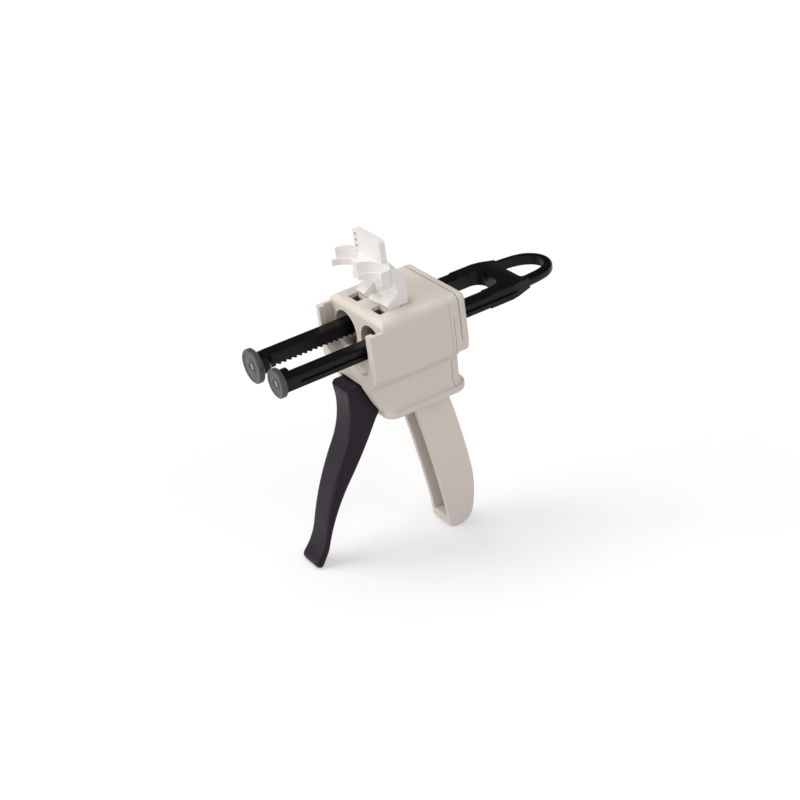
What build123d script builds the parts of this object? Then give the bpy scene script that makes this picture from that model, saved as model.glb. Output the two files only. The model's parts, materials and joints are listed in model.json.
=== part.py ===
from build123d import *
import math
import os

# Two-barrel cartridge dispenser. Sizes are millimetres and degrees.
# X runs forward along the barrels, Y to the near side and Z up, with zero in the middle of the seat.
# Everything is drawn along the barrels and turned nose-down at the end, as the tool stands.

# stance
nose_dip = 8.5

# barrels and the two pusher discs
barrel_pitch = 22.5
large_disc = 17.0
small_disc = 14.3
disc_thickness = 3.0
disc_reach = 51.5
disc_edge = 0.5
screw_head = 2.7
screw_head_height = 1.2
screw_head_sink = 0.2
screw_shank = 1.6
screw_length = 6.5

# plunger
rod_width = 7.6
rod_height = 7.0
rod_outset = 2.25
rod_edge = 1.1
groove_height = 1.6
groove_depth = 1.0
groove_end = -80.0
boss_radius = 5.5
boss_length = 4.0
rib_run = 8.0
rib_height = 4.0
tooth_pitch = 2.8
tooth_depth = 0.9
tooth_count = 32
tooth_tip = 0.5
tooth_width = 3.6
first_tooth = -50.0
bridge_front = -75.0
bridge_back = -86.0
slot_corner = 6.0
loop_end = -109.4
loop_thickness = 5.0
loop_wall = 5.0
loop_side_wall = 3.8
loop_half = 14.6
loop_edge = 1.9
bridge_taper = 8.0

# clearances
running_gap = 0.3
rod_gap = 0.35
pin_play = 0.03
seat_gap = 0.1

# housing
body_half = 23.6
body_top = 14.3
top_round = 4.0
front_round = 3.3
body_back = -41.0
collar_step = 0.4
collar_length = 5.0
step_line = -10.0
shoulder_draft = 1.0
overhang_floor = -15.0
waist_half = 17.2
waist_level = -20.5
waist_setback = 0.3
trunk_half = 16.4
trunk_back = -43.4
trunk_corner = 5.0
trunk_foot = -30.5
trunk_front = 3.3
trunk_front_corner = 4.0
skirt_half = 19.2
skirt_back = -45.6
skirt_front = 0.7
skirt_rim = -35.0
skirt_edge = 3.5
skirt_round = 1.2
skirt_back_corner = 8.0
skirt_front_corner = 6.0
cover_thickness = 4.6
cover_round = 2.6

# seat at the front of the housing
wing_top = 10.6
wing_step = 0.4
wing_draft = 1.4
lip_front = 7.8
lip_back = 4.6
lip_bottom = -19.6
lip_scallop = 9.2
scallop_drop = 3.5
slot_half = 22.2
socket_radius = 9.2
socket_depth = 10.0
window_front = -4.8
window_back = -10.8
window_inner = 5.6
window_outer = 13.9

# spaces inside the housing
cavity_half = 13.9
cavity_back = -39.0
cavity_front = -2.4
cavity_floor = -33.5
rear_space_half = 21.0
rear_space_height = 11.0
bulkhead_back = -24.0
trigger_slot_half = 9.5
trigger_slot_back = -20.0
trigger_slot_corner = 2.5
screw_block_half = 8.6
screw_block_bottom = 4.2
cover_screw_spread = 5.2
cover_screw_level = 7.6
cover_screw_shank = 2.6
cover_screw_head = 5.0
cover_screw_head_height = 1.8
cover_screw_length = 14.0

# lock lever, drawn standing open
lever_x = -13.3
lever_z = 12.3
lever_pin = 3.0
lever_pin_half = 17.0
lever_eye = 3.2
lever_half = 13.6
lever_back = -20.4
lever_arm_half = 20.1
lever_arm_reach = -1.0
lever_arm_top = 37.0
lever_tip_top = 31.6
lever_tip_bottom = 28.5
lever_waist = -17.5
lever_waist_drop = 4.5
lever_hump = 25.0
lever_hump_back = -21.6
lever_neck_top = 25.8
saddle_gap = 0.25
saddle_wall = 3.5
saddle_step = 1.0
blunt_depth = 1.4
middle_tip = -3.2
middle_tip_half = 3.0
tab_half = 11.5
tab_top = 48.0
tab_thickness = 3.0
tab_front = -11.0
tab_corner = 2.0
claw_radius = 7.8
claw_reach = 4.2
claw_undercut = 1.3
claw_shoulder = 1.3
claw_height = 7.6
claw_inner = 5.9
claw_path_start = 0.7
pip_radius = 0.6
pip_height = 0.35
pip_inset = 2.3
pip_spacing = 3.0
pip_count = 4

# trigger and its drive pawl
trigger_x = -8.0
trigger_z = -27.0
trigger_half = 7.5
trigger_eye = 5.5
trigger_pin = 4.0
trigger_pin_half = 15.0
trigger_edge = 1.5
lip_gap = 0.9
brow_x = 14.2
brow_z = -24.5
brow_bevel = 1.6
knuckle_middle_x = 14.9
knuckle_middle_z = -38.0
knuckle_x = 20.1
knuckle_z = -51.1
belly_x = 36.3
belly_z = -89.4
flick_x = 44.2
flick_z = -102.8
tip_x = 41.5
tip_z = -107.4
thigh_top_x = 0.0
thigh_top_z = -39.5
thigh_middle_x = 9.4
thigh_middle_z = -54.3
thigh_x = 19.4
thigh_z = -67.7
shin_x = 36.6
shin_z = -99.8
tongue_length = 15.0
tongue_lean = 20.0
tongue_half = 2.0
pawl_eye = 3.2
pawl_pin = 2.6
pawl_cheek_in = 4.8
pawl_cheek_out = 7.2
pawl_half = 12.6
pawl_pad_in = 10.0
pawl_lift = 8.1
pawl_land = 1.2
pawl_back = 2.6
pawl_front = 3.0
pawl_bar_low = 3.3
pawl_bar_high = 6.6
heel_half = 4.0
heel_thickness = 3.0
peg_height = 1.2

# grip
grip_half = 8.0
grip_wall = 2.5
grip_web = 3.0
grip_foot = -112.0
grip_front_x = -18.5
grip_back_x = -38.3
palm_middle_x = -43.9
palm_middle_z = -64.0
palm_x = -47.5
palm_z = -87.0
heel_x = -45.7
toe_x = -31.2
toe_z = -117.2
shank_x = -30.4
shank_z = -106.0
shank_middle_x = -26.3
shank_middle_z = -78.0
grip_edge = 1.5
spigot_front = -21.0
spigot_back = -35.5
spigot_half = 6.0
spigot_height = 3.6

# release lever
release_x = -27.0
release_z = -14.0
release_eye = 3.2
release_pin = 3.0
release_pin_half = 15.5
release_half = 8.5
release_pad_back = -38.0
release_pad_front = -34.2
release_pad_gap = 0.4
release_pad_height = 1.6
release_bar_height = 3.6
stem_drop = 1.2
stem_height = 3.6
release_stem_half = 3.5
release_way_top = -15.6
release_way_bottom = -24.0
paddle_gap = 2.5
paddle_thickness = 2.0
paddle_half = 5.5
paddle_bottom = -28.5
paddle_corner = 2.0

# springs
return_wire = 0.8
return_coil = 2.6
return_turns = 4
return_x = -18.0
release_wire = 0.6
release_coil = 2.0
release_turns = 3
release_spring_x = -32.0
pawl_wire = 0.5
pawl_coil = 1.9
pawl_turns = 2
return_room = 13.6
heel_rise = 1.0
release_spring_foot = -26.6
release_room = 7.4
pawl_coil_gap = 0.45

# values that follow from the ones above
lane = barrel_pitch / 2
collar_half = body_half + collar_step
wing_half = body_half + wing_step
rod_middle = lane + rod_outset
rod_in = rod_middle - rod_width / 2
rod_out = rod_middle + rod_width / 2
rod_top = rod_height / 2
passage_in = rod_in - rod_gap
passage_out = rod_out + rod_gap
passage_top = rod_top + rod_gap
boss_front = disc_reach - disc_thickness
boss_back = boss_front - boss_length
cover_back = body_back - cover_thickness
cover_screw_tip = cover_back + cover_screw_head_height + seat_gap + cover_screw_length
lip_half = lane + lip_scallop
slot_scallop = slot_half - lane
saddle_radius = large_disc / 2 + saddle_gap
lever_rest = body_top + running_gap
lever_front = lever_x - (lever_rest - lever_z)
skirt_floor = skirt_rim - skirt_edge
paddle_front = trunk_back - paddle_gap
pawl_x = trigger_x - tongue_length * math.sin(math.radians(tongue_lean))
pawl_z = trigger_z + tongue_length * math.cos(math.radians(tongue_lean))
pocket_neck = lever_eye - 0.3
heel_top = trigger_z + heel_rise


def block(x_low, x_high, y_low, y_high, z_low, z_high):
    """Return a plain block between the given limits."""
    size = Box(x_high - x_low, y_high - y_low, z_high - z_low)
    return Pos((x_low + x_high) / 2, (y_low + y_high) / 2, (z_low + z_high) / 2) * size


def pin_along_y(x, z, radius, y_low, y_high):
    """Return a round pin that lies across the tool."""
    return Pos(x, (y_low + y_high) / 2, z) * Rot(90, 0, 0) * Cylinder(radius, y_high - y_low)


def pin_along_x(y, z, radius, x_low, x_high):
    """Return a round pin that points forward."""
    return Pos((x_low + x_high) / 2, y, z) * Rot(0, 90, 0) * Cylinder(radius, x_high - x_low)


def side_slab(outline, y_low, y_high):
    """Extrude an outline of X and Z points from one side plane to another."""
    middle = (y_low + y_high) / 2
    slab = extrude(Plane.XZ * outline, amount=(y_high - y_low) / 2, both=True)
    return Pos(0, middle, 0) * slab


def polygon(*points):
    """Return a straight-sided face through the points."""
    return make_face(Polyline(*points, close=True))


def rounded(face, radius, low, high):
    """Round the corners of a flat outline that lie between two heights of its own Y axis."""
    return fillet(face.vertices().filter_by_position(Axis.Y, low, high), radius)


def both_sides(shape):
    """Return the shape together with its mirror image across the middle plane."""
    return shape + mirror(shape, Plane.XZ)


def cross_section(outline, x_low, x_high):
    """Extrude an outline of Y and Z points along the barrels."""
    return extrude(Plane.YZ.offset(x_low) * outline, amount=x_high - x_low)


def plan_ring(level, back, front, half, back_corner, front_corner):
    """Return a level outline with round corners, larger at the back than at the front."""
    outline = polygon((back, -half), (front, -half), (front, half), (back, half))
    outline = fillet(outline.vertices().filter_by_position(Axis.X, back - 0.1, back + 0.1), back_corner)
    outline = fillet(outline.vertices().filter_by_position(Axis.X, front - 0.1, front + 0.1), front_corner)
    return Pos(0, 0, level) * outline


def coil_path(radius, pitch, turns):
    """Return a coil about Z from pairs of tangent arcs, one pair to each half turn."""
    halves = 2

    def point(step):
        angle = 2 * math.pi * step / halves
        return Vector(radius * math.cos(angle), radius * math.sin(angle), pitch * step / halves)

    def heading(step):
        angle = 2 * math.pi * step / halves
        rise = pitch / (2 * math.pi)
        return Vector(-radius * math.sin(angle), radius * math.cos(angle), rise).normalized()

    edges = []
    for step in range(turns * halves):
        start, end = point(step), point(step + 1)
        leave, arrive = heading(step), heading(step + 1)
        span = end - start
        both = leave + arrive
        bend = 2 * (1 - leave.dot(arrive))
        reach = (-span.dot(both) + math.sqrt(span.dot(both) ** 2 + bend * span.dot(span))) / bend
        joint = (start + end + (leave - arrive) * reach) * 0.5
        first = TangentArc(start, joint, tangent=leave)
        edges.append(first)
        edges.append(TangentArc(joint, end, tangent=first % 1))
    return Wire(edges), point(0), heading(0)


def coil(name, radius, wire, pitch, turns):
    """Return a round-wire coil about Z that starts at height zero."""
    path, start, leave = coil_path(radius, pitch, turns)
    points = [path @ (k / (turns * 24)) for k in range(turns * 24 + 1)]
    gap = min(
        (points[i] - points[j]).length
        for i in range(len(points))
        for j in range(i + 18, min(i + 31, len(points)))
    )
    print(name, "least gap between turns", round(gap - wire, 2))
    return sweep(Plane(start, z_dir=leave) * RegularPolygon(wire / 2, 6), path)


# plunger: two rack rods, bosses for the discs, bridge and finger loop

def rack_rod():
    """Return the near rod with its saw teeth on the lower inner edge."""
    teeth = [(bridge_front - 1, rod_top), (bridge_front - 1, -rod_top)]
    for count in range(tooth_count):
        face = first_tooth + count * tooth_pitch
        teeth.append((face, -rod_top + tooth_depth))
        teeth.append((face, -rod_top))
        teeth.append((face + tooth_tip, -rod_top))
        teeth.append((face + tooth_pitch - tooth_tip, -rod_top + tooth_depth))
    last = first_tooth + tooth_count * tooth_pitch
    teeth.append((last, -rod_top + tooth_depth))
    teeth.append((last, -rod_top))
    teeth.append((boss_front, -rod_top))
    teeth.append((boss_front, rod_top))
    first = first_tooth
    teeth.insert(2, (first - tooth_pitch, -rod_top))
    toothed = side_slab(polygon(*teeth), rod_in, rod_in + tooth_width)
    plain = block(bridge_front - 1, boss_front, rod_in + tooth_width, rod_out, -rod_top, rod_top)
    rod = toothed + plain
    outer = rod.edges().filter_by(Axis.X).filter_by_position(Axis.Y, rod_out - 0.1, rod_out + 0.1)
    upper = rod.edges().filter_by(Axis.X).filter_by_position(Axis.Z, rod_top - 0.1, rod_top + 0.1)
    inner = upper.filter_by_position(Axis.Y, rod_in - 0.1, rod_in + 0.1)
    rod = fillet(outer + inner, rod_edge)
    return rod


def loop_outline(start, end, half):
    """Return the rounded plan of the finger loop or of its hole, from its straight front to its end."""
    shares = ((0.0, 1.0), (0.35, 0.94), (0.7, 0.77), (0.92, 0.44), (1.0, 0.0))
    near = [(start + along * (end - start), half * across) for along, across in shares]
    far = [(x, -y) for x, y in reversed(near[:-1])]
    bow = Spline(*near, *far)
    return make_face([bow, Line(bow @ 1, bow @ 0)])


def make_plunger():
    """Return the plunger moulding."""
    rods = both_sides(rack_rod())
    shoulders = polygon(
        (bridge_front - 1, -rod_out), (bridge_front + 12, -rod_out), (bridge_front + 12, rod_out),
        (bridge_front - 1, rod_out), (bridge_back - 2, loop_half), (bridge_back - 2, -loop_half),
    )
    bridge = extrude(Pos(0, 0, -rod_top) * shoulders, amount=rod_height)
    taper = polygon(
        (bridge_back - 2, -loop_thickness / 2), (bridge_back - 2, loop_thickness / 2), (bridge_back - 2 + bridge_taper, rod_top),
        (bridge_front + 12, rod_top), (bridge_front + 12, -rod_top), (bridge_back - 2 + bridge_taper, -rod_top),
    )
    bridge &= side_slab(taper, -wing_half, wing_half)
    gap = polygon(
        (bridge_front, -rod_in), (bridge_front + 20, -rod_in), (bridge_front + 20, rod_in),
        (bridge_front, rod_in),
    )
    gap = fillet(gap.vertices().filter_by_position(Axis.X, bridge_front - 0.1, bridge_front + 0.1), slot_corner)
    bridge -= extrude(Pos(0, 0, -rod_height) * gap, amount=2 * rod_height)
    outline = loop_outline(bridge_back - 2, loop_end, loop_half)
    loop = extrude(Pos(0, 0, -loop_thickness / 2) * outline, amount=loop_thickness)
    loop = fillet(loop.edges().filter_by_position(Axis.X, loop_end - 1, bridge_back - 3), loop_edge)
    plunger = rods + bridge + loop
    hole = loop_outline(bridge_back - 1.2, loop_end + loop_wall, loop_half - loop_side_wall)
    hole = fillet(hole.vertices(), 1.5)
    plunger -= extrude(Pos(0, 0, -rod_height) * hole, amount=2 * rod_height)
    groove = block(groove_end, boss_back - 3, rod_out - groove_depth, rod_out + 1, -groove_height / 2, groove_height / 2)
    plunger -= both_sides(groove)
    for side in (-1, 1):
        plunger += pin_along_x(side * lane, 0, boss_radius, boss_back, boss_front)
        rib = polygon(
            (boss_front, side * (lane - boss_radius)), (boss_back, side * (lane - boss_radius)),
            (boss_front - rib_run, side * (rod_in + 0.5)), (boss_front, side * (rod_in + 0.5)),
        )
        plunger += extrude(Pos(0, 0, -rib_height / 2) * rib, amount=rib_height)
        hole_end = disc_reach - screw_length - seat_gap
        plunger -= pin_along_x(side * lane, 0, screw_shank / 2 + pin_play, hole_end, boss_front + 1)
    return plunger


def make_disc(side, diameter):
    """Return a pusher disc with its countersunk hole."""
    y = side * lane
    disc = pin_along_x(y, 0, diameter / 2, boss_front, disc_reach)
    disc = chamfer(disc.edges().filter_by(GeomType.CIRCLE), disc_edge)
    disc -= pin_along_x(y, 0, screw_shank / 2 + pin_play, boss_front - 1, disc_reach)
    head_seat = disc_reach - screw_head_sink - screw_head_height
    disc -= pin_along_x(y, 0, screw_head / 2 + pin_play, head_seat, disc_reach + 1)
    return disc


def make_disc_screw(side):
    """Return the screw in the middle of a disc, head first."""
    y = side * lane
    head_front = disc_reach - screw_head_sink
    head = pin_along_x(y, 0, screw_head / 2, head_front - screw_head_height, head_front)
    shank = pin_along_x(y, 0, screw_shank / 2, disc_reach - screw_length, head_front - screw_head_height)
    slot_width = 0.5
    slot = block(head_front - 0.4, head_front + 1, y - screw_head, y + screw_head, -slot_width / 2, slot_width / 2)
    return head + shank - slot


# housing

def body_profile(half, bottom):
    """Return the housing's cross-section, round at the top corners and sloped in at the shoulder."""
    foot = half - shoulder_draft
    face = polygon(
        (-half, step_line), (-half, body_top), (half, body_top), (half, step_line), (foot, bottom), (-foot, bottom)
    )
    return rounded(face, top_round, body_top - 0.1, body_top + 0.1)


def seat_profile(half, scallop):
    """Return the seat opening seen from the front: open at the top, two round scallops at the bottom."""
    top = body_top + 1
    face = polygon((-half, -scallop_drop), (-half, top), (half, top), (half, -scallop_drop))
    for side in (-1, 1):
        face += Pos(side * lane, -scallop_drop) * Circle(scallop)
    return face


def make_housing():
    """Return the main moulding with its seat, passages, pockets and skirt."""
    upper = cross_section(body_profile(body_half, overhang_floor), body_back, 0)
    side = polygon(
        (body_back - 1, overhang_floor - 1), (body_back - 1, body_top), (0, body_top), (0, overhang_floor - 1)
    )
    top_corner = side.vertices().filter_by_position(Axis.X, -0.1, 0.1).filter_by_position(Axis.Y, 0, body_top + 1)
    side = fillet(top_corner, front_round)
    upper &= side_slab(side, -wing_half, wing_half)
    upper += cross_section(body_profile(collar_half, overhang_floor), body_back, body_back + collar_length)

    plate = polygon(
        (-wing_half, step_line - 2), (-wing_half, wing_top), (wing_half, wing_top), (wing_half, step_line - 2),
        (wing_half - wing_draft, overhang_floor), (wing_draft - wing_half, overhang_floor),
    )
    upper += cross_section(plate, -front_round, lip_front)

    waist = plan_ring(
        waist_level, trunk_back, lip_front - waist_setback, waist_half, trunk_corner, trunk_front_corner / 2
    )
    brim = plan_ring(
        overhang_floor, trunk_back, lip_front, body_half - shoulder_draft, trunk_corner, shoulder_draft
    )
    shoulder = loft([brim, waist], ruled=True)
    foot = plan_ring(trunk_foot, trunk_back, trunk_front, trunk_half, trunk_corner, trunk_front_corner)
    trunk = loft([waist, foot], ruled=True)
    flare = []
    for share in (0.0, 0.45, 0.8, 1.0):
        swell = 1 - math.sqrt(1 - share * share)
        flare.append(
            plan_ring(
                trunk_foot + share * (skirt_rim - trunk_foot),
                trunk_back + swell * (skirt_back - trunk_back),
                trunk_front + share * (skirt_front - trunk_front),
                trunk_half + swell * (skirt_half - trunk_half),
                trunk_corner + swell * (skirt_back_corner - trunk_corner),
                trunk_front_corner + swell * (skirt_front_corner - trunk_front_corner),
            )
        )
    skirt = loft(flare)
    rim = extrude(flare[-1], amount=-skirt_edge)
    rim = fillet(rim.faces().sort_by(Axis.Z)[0].edges(), skirt_round)
    housing = upper + shoulder + trunk + skirt + rim

    # seat slot, lips and sockets
    housing -= cross_section(seat_profile(lip_half, lip_scallop), lip_back, lip_front + 1)
    housing -= cross_section(seat_profile(slot_half, slot_scallop), 0, lip_back)
    housing -= block(0, lip_back, -lane, lane, -scallop_drop - slot_scallop / 2, 0)
    for side in (-1, 1):
        housing -= pin_along_x(side * lane, 0, socket_radius, -socket_depth, 1)
    window = block(window_back, window_front, window_inner, window_outer, 0, body_top + 1)
    housing -= both_sides(window)
    passage = block(cover_back - 1, 1, passage_in, passage_out, -passage_top, passage_top)
    housing -= both_sides(passage)

    # mechanism space, open to the trigger slot below
    cavity = block(cavity_back, cavity_front, -cavity_half, cavity_half, cavity_floor, -passage_top)
    housing -= cavity
    slot = polygon(
        (trigger_slot_back, -trigger_slot_half), (lip_front + 1, -trigger_slot_half),
        (lip_front + 1, trigger_slot_half), (trigger_slot_back, trigger_slot_half),
    )
    back_corners = slot.vertices().filter_by_position(Axis.X, trigger_slot_back - 0.1, trigger_slot_back + 0.1)
    slot = fillet(back_corners, trigger_slot_corner)
    housing -= extrude(Pos(0, 0, skirt_floor - 1) * slot, amount=lip_bottom - skirt_floor + 1)

    # rear space behind the bulkhead
    rear = block(body_back - 1, bulkhead_back, -rear_space_half, rear_space_half, -rear_space_height, rear_space_height)
    rear -= block(
        body_back - 2, bulkhead_back + 1, -screw_block_half, screw_block_half, screw_block_bottom, rear_space_height + 1
    )
    housing -= rear
    for side in (-1, 1):
        y = side * cover_screw_spread
        bore_end = cover_screw_tip + seat_gap
        housing -= pin_along_x(y, cover_screw_level, cover_screw_shank / 2 + pin_play, body_back - 1, bore_end)

    # lock lever pocket and the paths of its claws
    pocket_radius = lever_eye + running_gap
    pocket = pin_along_y(lever_x, lever_z, pocket_radius, -window_outer, window_outer)
    pocket += block(lever_x - pocket_radius, lever_x + pocket_radius, -window_outer, window_outer, lever_z, body_top + 1)
    housing -= pocket
    claw_path = pin_along_y(lever_x, lever_z, claw_radius + running_gap, window_inner, window_outer)
    claw_path &= block(lever_x + claw_path_start, window_front, window_inner, window_outer, 0, body_top + 1)
    housing -= both_sides(claw_path)

    # pin holes, all blind from inside
    for x, z, pin, half in (
        (lever_x, lever_z, lever_pin, lever_pin_half),
        (trigger_x, trigger_z, trigger_pin, trigger_pin_half),
        (release_x, release_z, release_pin, release_pin_half),
    ):
        housing -= pin_along_y(x, z, pin / 2 + pin_play, -half - seat_gap, half + seat_gap)

    # way out for the release lever, and the socket for the grip
    way_half = release_stem_half + 1
    housing -= block(trunk_back - 1, cavity_back + 1, -way_half, way_half, release_way_bottom, release_way_top)
    socket_half = spigot_half + seat_gap
    housing -= block(
        spigot_back - seat_gap, spigot_front + seat_gap, -socket_half, socket_half,
        skirt_floor - 1, skirt_floor + spigot_height + seat_gap,
    )
    return housing


def upright(x, z, height):
    """Return the point that stands straight above another by the given height when the tool stands."""
    return x - height * math.sin(math.radians(nose_dip)), z + height * math.cos(math.radians(nose_dip))


def level_cut(x, z, half):
    """Return two points of a seat that is level when the tool stands, back one first."""
    rise = half * math.tan(math.radians(nose_dip))
    return (x - half, z - rise), (x + half, z + rise)


def spring_seats():
    """Return the two posts inside the housing that the inner springs rest on."""
    half = return_coil + return_wire
    x, z = upright(return_x, heel_top, return_room)
    low_back, low_front = level_cut(x, z, half)
    ceiling = polygon(low_back, low_front, (x + half, running_gap - passage_top), (x - half, running_gap - passage_top))
    half = release_coil + release_wire
    x, z = release_spring_x, release_spring_foot
    top_back, top_front = level_cut(x, z, half)
    floor = polygon(top_back, top_front, (x + half, cavity_floor - 0.5), (x - half, cavity_floor - 0.5))
    return side_slab(ceiling, -heel_half, heel_half) + side_slab(floor, -release_stem_half, release_stem_half)


def make_cover():
    """Return the rear end plate with its two rod passages."""
    cover = cross_section(body_profile(collar_half, overhang_floor), cover_back, body_back)
    rear_edges = cover.faces().sort_by(Axis.X)[0].edges()
    cover = fillet(rear_edges, cover_round)
    passage = block(cover_back - 1, body_back + 1, passage_in, passage_out, -passage_top, passage_top)
    cover -= both_sides(passage)
    for side in (-1, 1):
        y = side * cover_screw_spread
        cover -= pin_along_x(y, cover_screw_level, cover_screw_shank / 2 + pin_play, cover_back - 1, body_back + 1)
        seat = cover_back + cover_screw_head_height + seat_gap
        cover -= pin_along_x(y, cover_screw_level, cover_screw_head / 2 + seat_gap, cover_back - 1, seat)
    return cover


def make_cover_screw(side):
    """Return a screw of the rear cover, its head just below the surface."""
    y = side * cover_screw_spread
    under = cover_back + cover_screw_head_height + seat_gap
    head = pin_along_x(y, cover_screw_level, cover_screw_head / 2, under - cover_screw_head_height, under)
    shank = pin_along_x(y, cover_screw_level, cover_screw_shank / 2, under, cover_screw_tip)
    return head + shank


# lock lever

def make_lock_lever():
    """Return the lever with its eye, neck, saddles, tab and claws, standing open."""
    waist_top = lever_arm_top - lever_waist_drop
    arm_side = polygon(
        (lever_arm_reach, lever_tip_bottom), (lever_arm_reach, lever_arm_top), (tab_front - tab_thickness, lever_arm_top),
        (lever_waist, waist_top), (lever_waist, lever_tip_bottom),
    )
    lever = side_slab(arm_side, -lever_arm_half, lever_arm_half)
    hooks = block(lever_waist - 1, lever_arm_reach, -lever_half, lever_half, 0, tab_top)
    for side in (-1, 1):
        hooks += Pos(lever_arm_reach, side * lane, lever_arm_top / 2) * Cylinder(saddle_radius + saddle_wall, lever_arm_top + 2)
    lever &= hooks
    for side in (-1, 1):
        lever -= Pos(lever_arm_reach, side * lane, 0) * Cylinder(saddle_radius, 4 * lever_arm_top)
        step_height = lever_arm_top - lever_tip_top + 1
        step = Cylinder(saddle_radius + saddle_step, step_height)
        lever -= Pos(lever_arm_reach, side * lane, lever_tip_top + step_height / 2) * step
    lever -= block(middle_tip, lever_arm_reach + 1, -middle_tip_half, middle_tip_half, 0, tab_top)
    blunt = lever_arm_reach - blunt_depth
    lever -= both_sides(block(blunt, lever_arm_reach + 1, lane + saddle_radius / 2, lever_arm_half + 1, 0, tab_top))
    stem_side = polygon(
        (tab_front - tab_thickness, lever_arm_top), (lever_waist, waist_top), (lever_hump_back, lever_hump),
        (lever_back, lever_rest), (lever_x - pocket_neck, lever_rest), (lever_x - pocket_neck, lever_z),
        (lever_x, lever_z), (lever_x, lever_z + pocket_neck), (lever_front, lever_z + pocket_neck),
        (lever_front, lever_neck_top), (tab_front - 2, lever_tip_bottom), (tab_front - 1, lever_arm_top - 2),
    )
    lever += side_slab(stem_side, -lever_half, lever_half)
    lever += pin_along_y(lever_x, lever_z, lever_eye, -lever_half, lever_half)
    tab_foot = lever_arm_top - 6
    tab = polygon((-tab_half, tab_foot), (tab_half, tab_foot), (tab_half, tab_top), (-tab_half, tab_top))
    tab = rounded(tab, tab_corner, tab_top - 0.1, tab_top + 0.1)
    lever += cross_section(tab, tab_front - tab_thickness, tab_front)
    claw = polygon(
        (lever_front - 0.5, lever_z + 1), (lever_x + claw_reach - claw_undercut, lever_z + 1),
        (lever_x + claw_reach, lever_z + claw_reach), (lever_x - claw_shoulder, lever_z + claw_height),
        (lever_front - 0.5, lever_z + claw_height),
    )
    claws = side_slab(claw, claw_inner, lever_half)
    lever += both_sides(claws)
    for count in range(pip_count):
        level = tab_top - pip_inset - count * pip_spacing
        lever += pin_along_x(pip_inset - tab_half, level, pip_radius, tab_front - 1, tab_front + pip_height)
    lever -= pin_along_y(lever_x, lever_z, lever_pin / 2 + pin_play, -wing_half, wing_half)
    return lever


# trigger, pawl and their pins

def eye_and_arm(x1, z1, r1, x2, z2, r2, half):
    """Return a link with a round end at each of two pins, joined along their tangents."""
    run, rise = x2 - x1, z2 - z1
    length = math.hypot(run, rise)
    lean = math.atan2(rise, run)
    spread = math.acos((r1 - r2) / length)
    corners = []
    for turn in (lean + spread, lean - spread):
        corners.append(((x1 + r1 * math.cos(turn), z1 + r1 * math.sin(turn)), (x2 + r2 * math.cos(turn), z2 + r2 * math.sin(turn))))
    web = polygon(corners[0][0], corners[0][1], corners[1][1], corners[1][0])
    link = side_slab(web, -half, half)
    return link + pin_along_y(x1, z1, r1, -half, half) + pin_along_y(x2, z2, r2, -half, half)


def edges_along(shape, curves, half):
    """Return the edges of a side slab that lie over the given curves of its outline, on both faces."""
    middles = [curve @ 0.5 for curve in curves]
    return [
        edge for edge in shape.edges()
        if abs(abs(edge.center().Y) - half) < 0.1
        and any(math.hypot(edge.center().X - middle.X, edge.center().Z - middle.Y) < 0.2 for middle in middles)
    ]


def make_trigger():
    """Return the curved squeeze lever with its eye, tongue and spring heel."""
    brow = (brow_x, brow_z)
    knuckle = ThreePointArc(brow, (knuckle_middle_x, knuckle_middle_z), (knuckle_x, knuckle_z))
    belly = TangentArc(knuckle @ 1, (belly_x, belly_z), tangent=knuckle % 1)
    flick = TangentArc(belly @ 1, (flick_x, flick_z), tangent=belly % 1)
    tip = TangentArc(flick @ 1, (tip_x, tip_z), tangent=flick % 1)
    thigh = ThreePointArc((thigh_top_x, thigh_top_z), (thigh_middle_x, thigh_middle_z), (thigh_x, thigh_z))
    shin = TangentArc(thigh @ 1, (shin_x, shin_z), tangent=thigh % 1)
    under_lip = lip_bottom - lip_gap
    head = Polyline(
        thigh @ 0, (trigger_x, trigger_z - trigger_eye), (trigger_x, under_lip), (brow_x - brow_bevel, under_lip),
        (brow_x, under_lip - brow_bevel), brow,
    )
    sole = Line(tip @ 1, shin @ 1)
    outline = make_face([knuckle, belly, flick, tip, sole, shin, thigh, head])
    trigger = side_slab(outline, -trigger_half, trigger_half)
    trigger = fillet(edges_along(trigger, (knuckle, belly, flick, tip, sole, thigh, shin), trigger_half), trigger_edge)
    trigger += pin_along_y(trigger_x, trigger_z, trigger_eye, -trigger_half, trigger_half)
    trigger += eye_and_arm(trigger_x, trigger_z, trigger_eye, pawl_x, pawl_z, pawl_eye, tongue_half)
    seat_back, seat_front = level_cut(return_x, heel_top, return_coil + return_wire)
    heel = polygon(
        (trigger_x, trigger_z + trigger_eye - 1), seat_front, seat_back, (seat_back[0], heel_top - heel_thickness),
        (trigger_x, trigger_z - trigger_eye + 1),
    )
    trigger += side_slab(heel, -heel_half, heel_half)
    peg = Cylinder(return_coil - return_wire / 2 - running_gap, 2 * peg_height)
    trigger += Pos(return_x, 0, heel_top) * Rot(0, -nose_dip, 0) * peg
    trigger -= pin_along_y(trigger_x, trigger_z, trigger_pin / 2 + pin_play, -trigger_half - 1, trigger_half + 1)
    trigger -= pin_along_y(pawl_x, pawl_z, pawl_pin / 2 + pin_play, -trigger_half - 1, trigger_half + 1)
    return trigger


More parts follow.
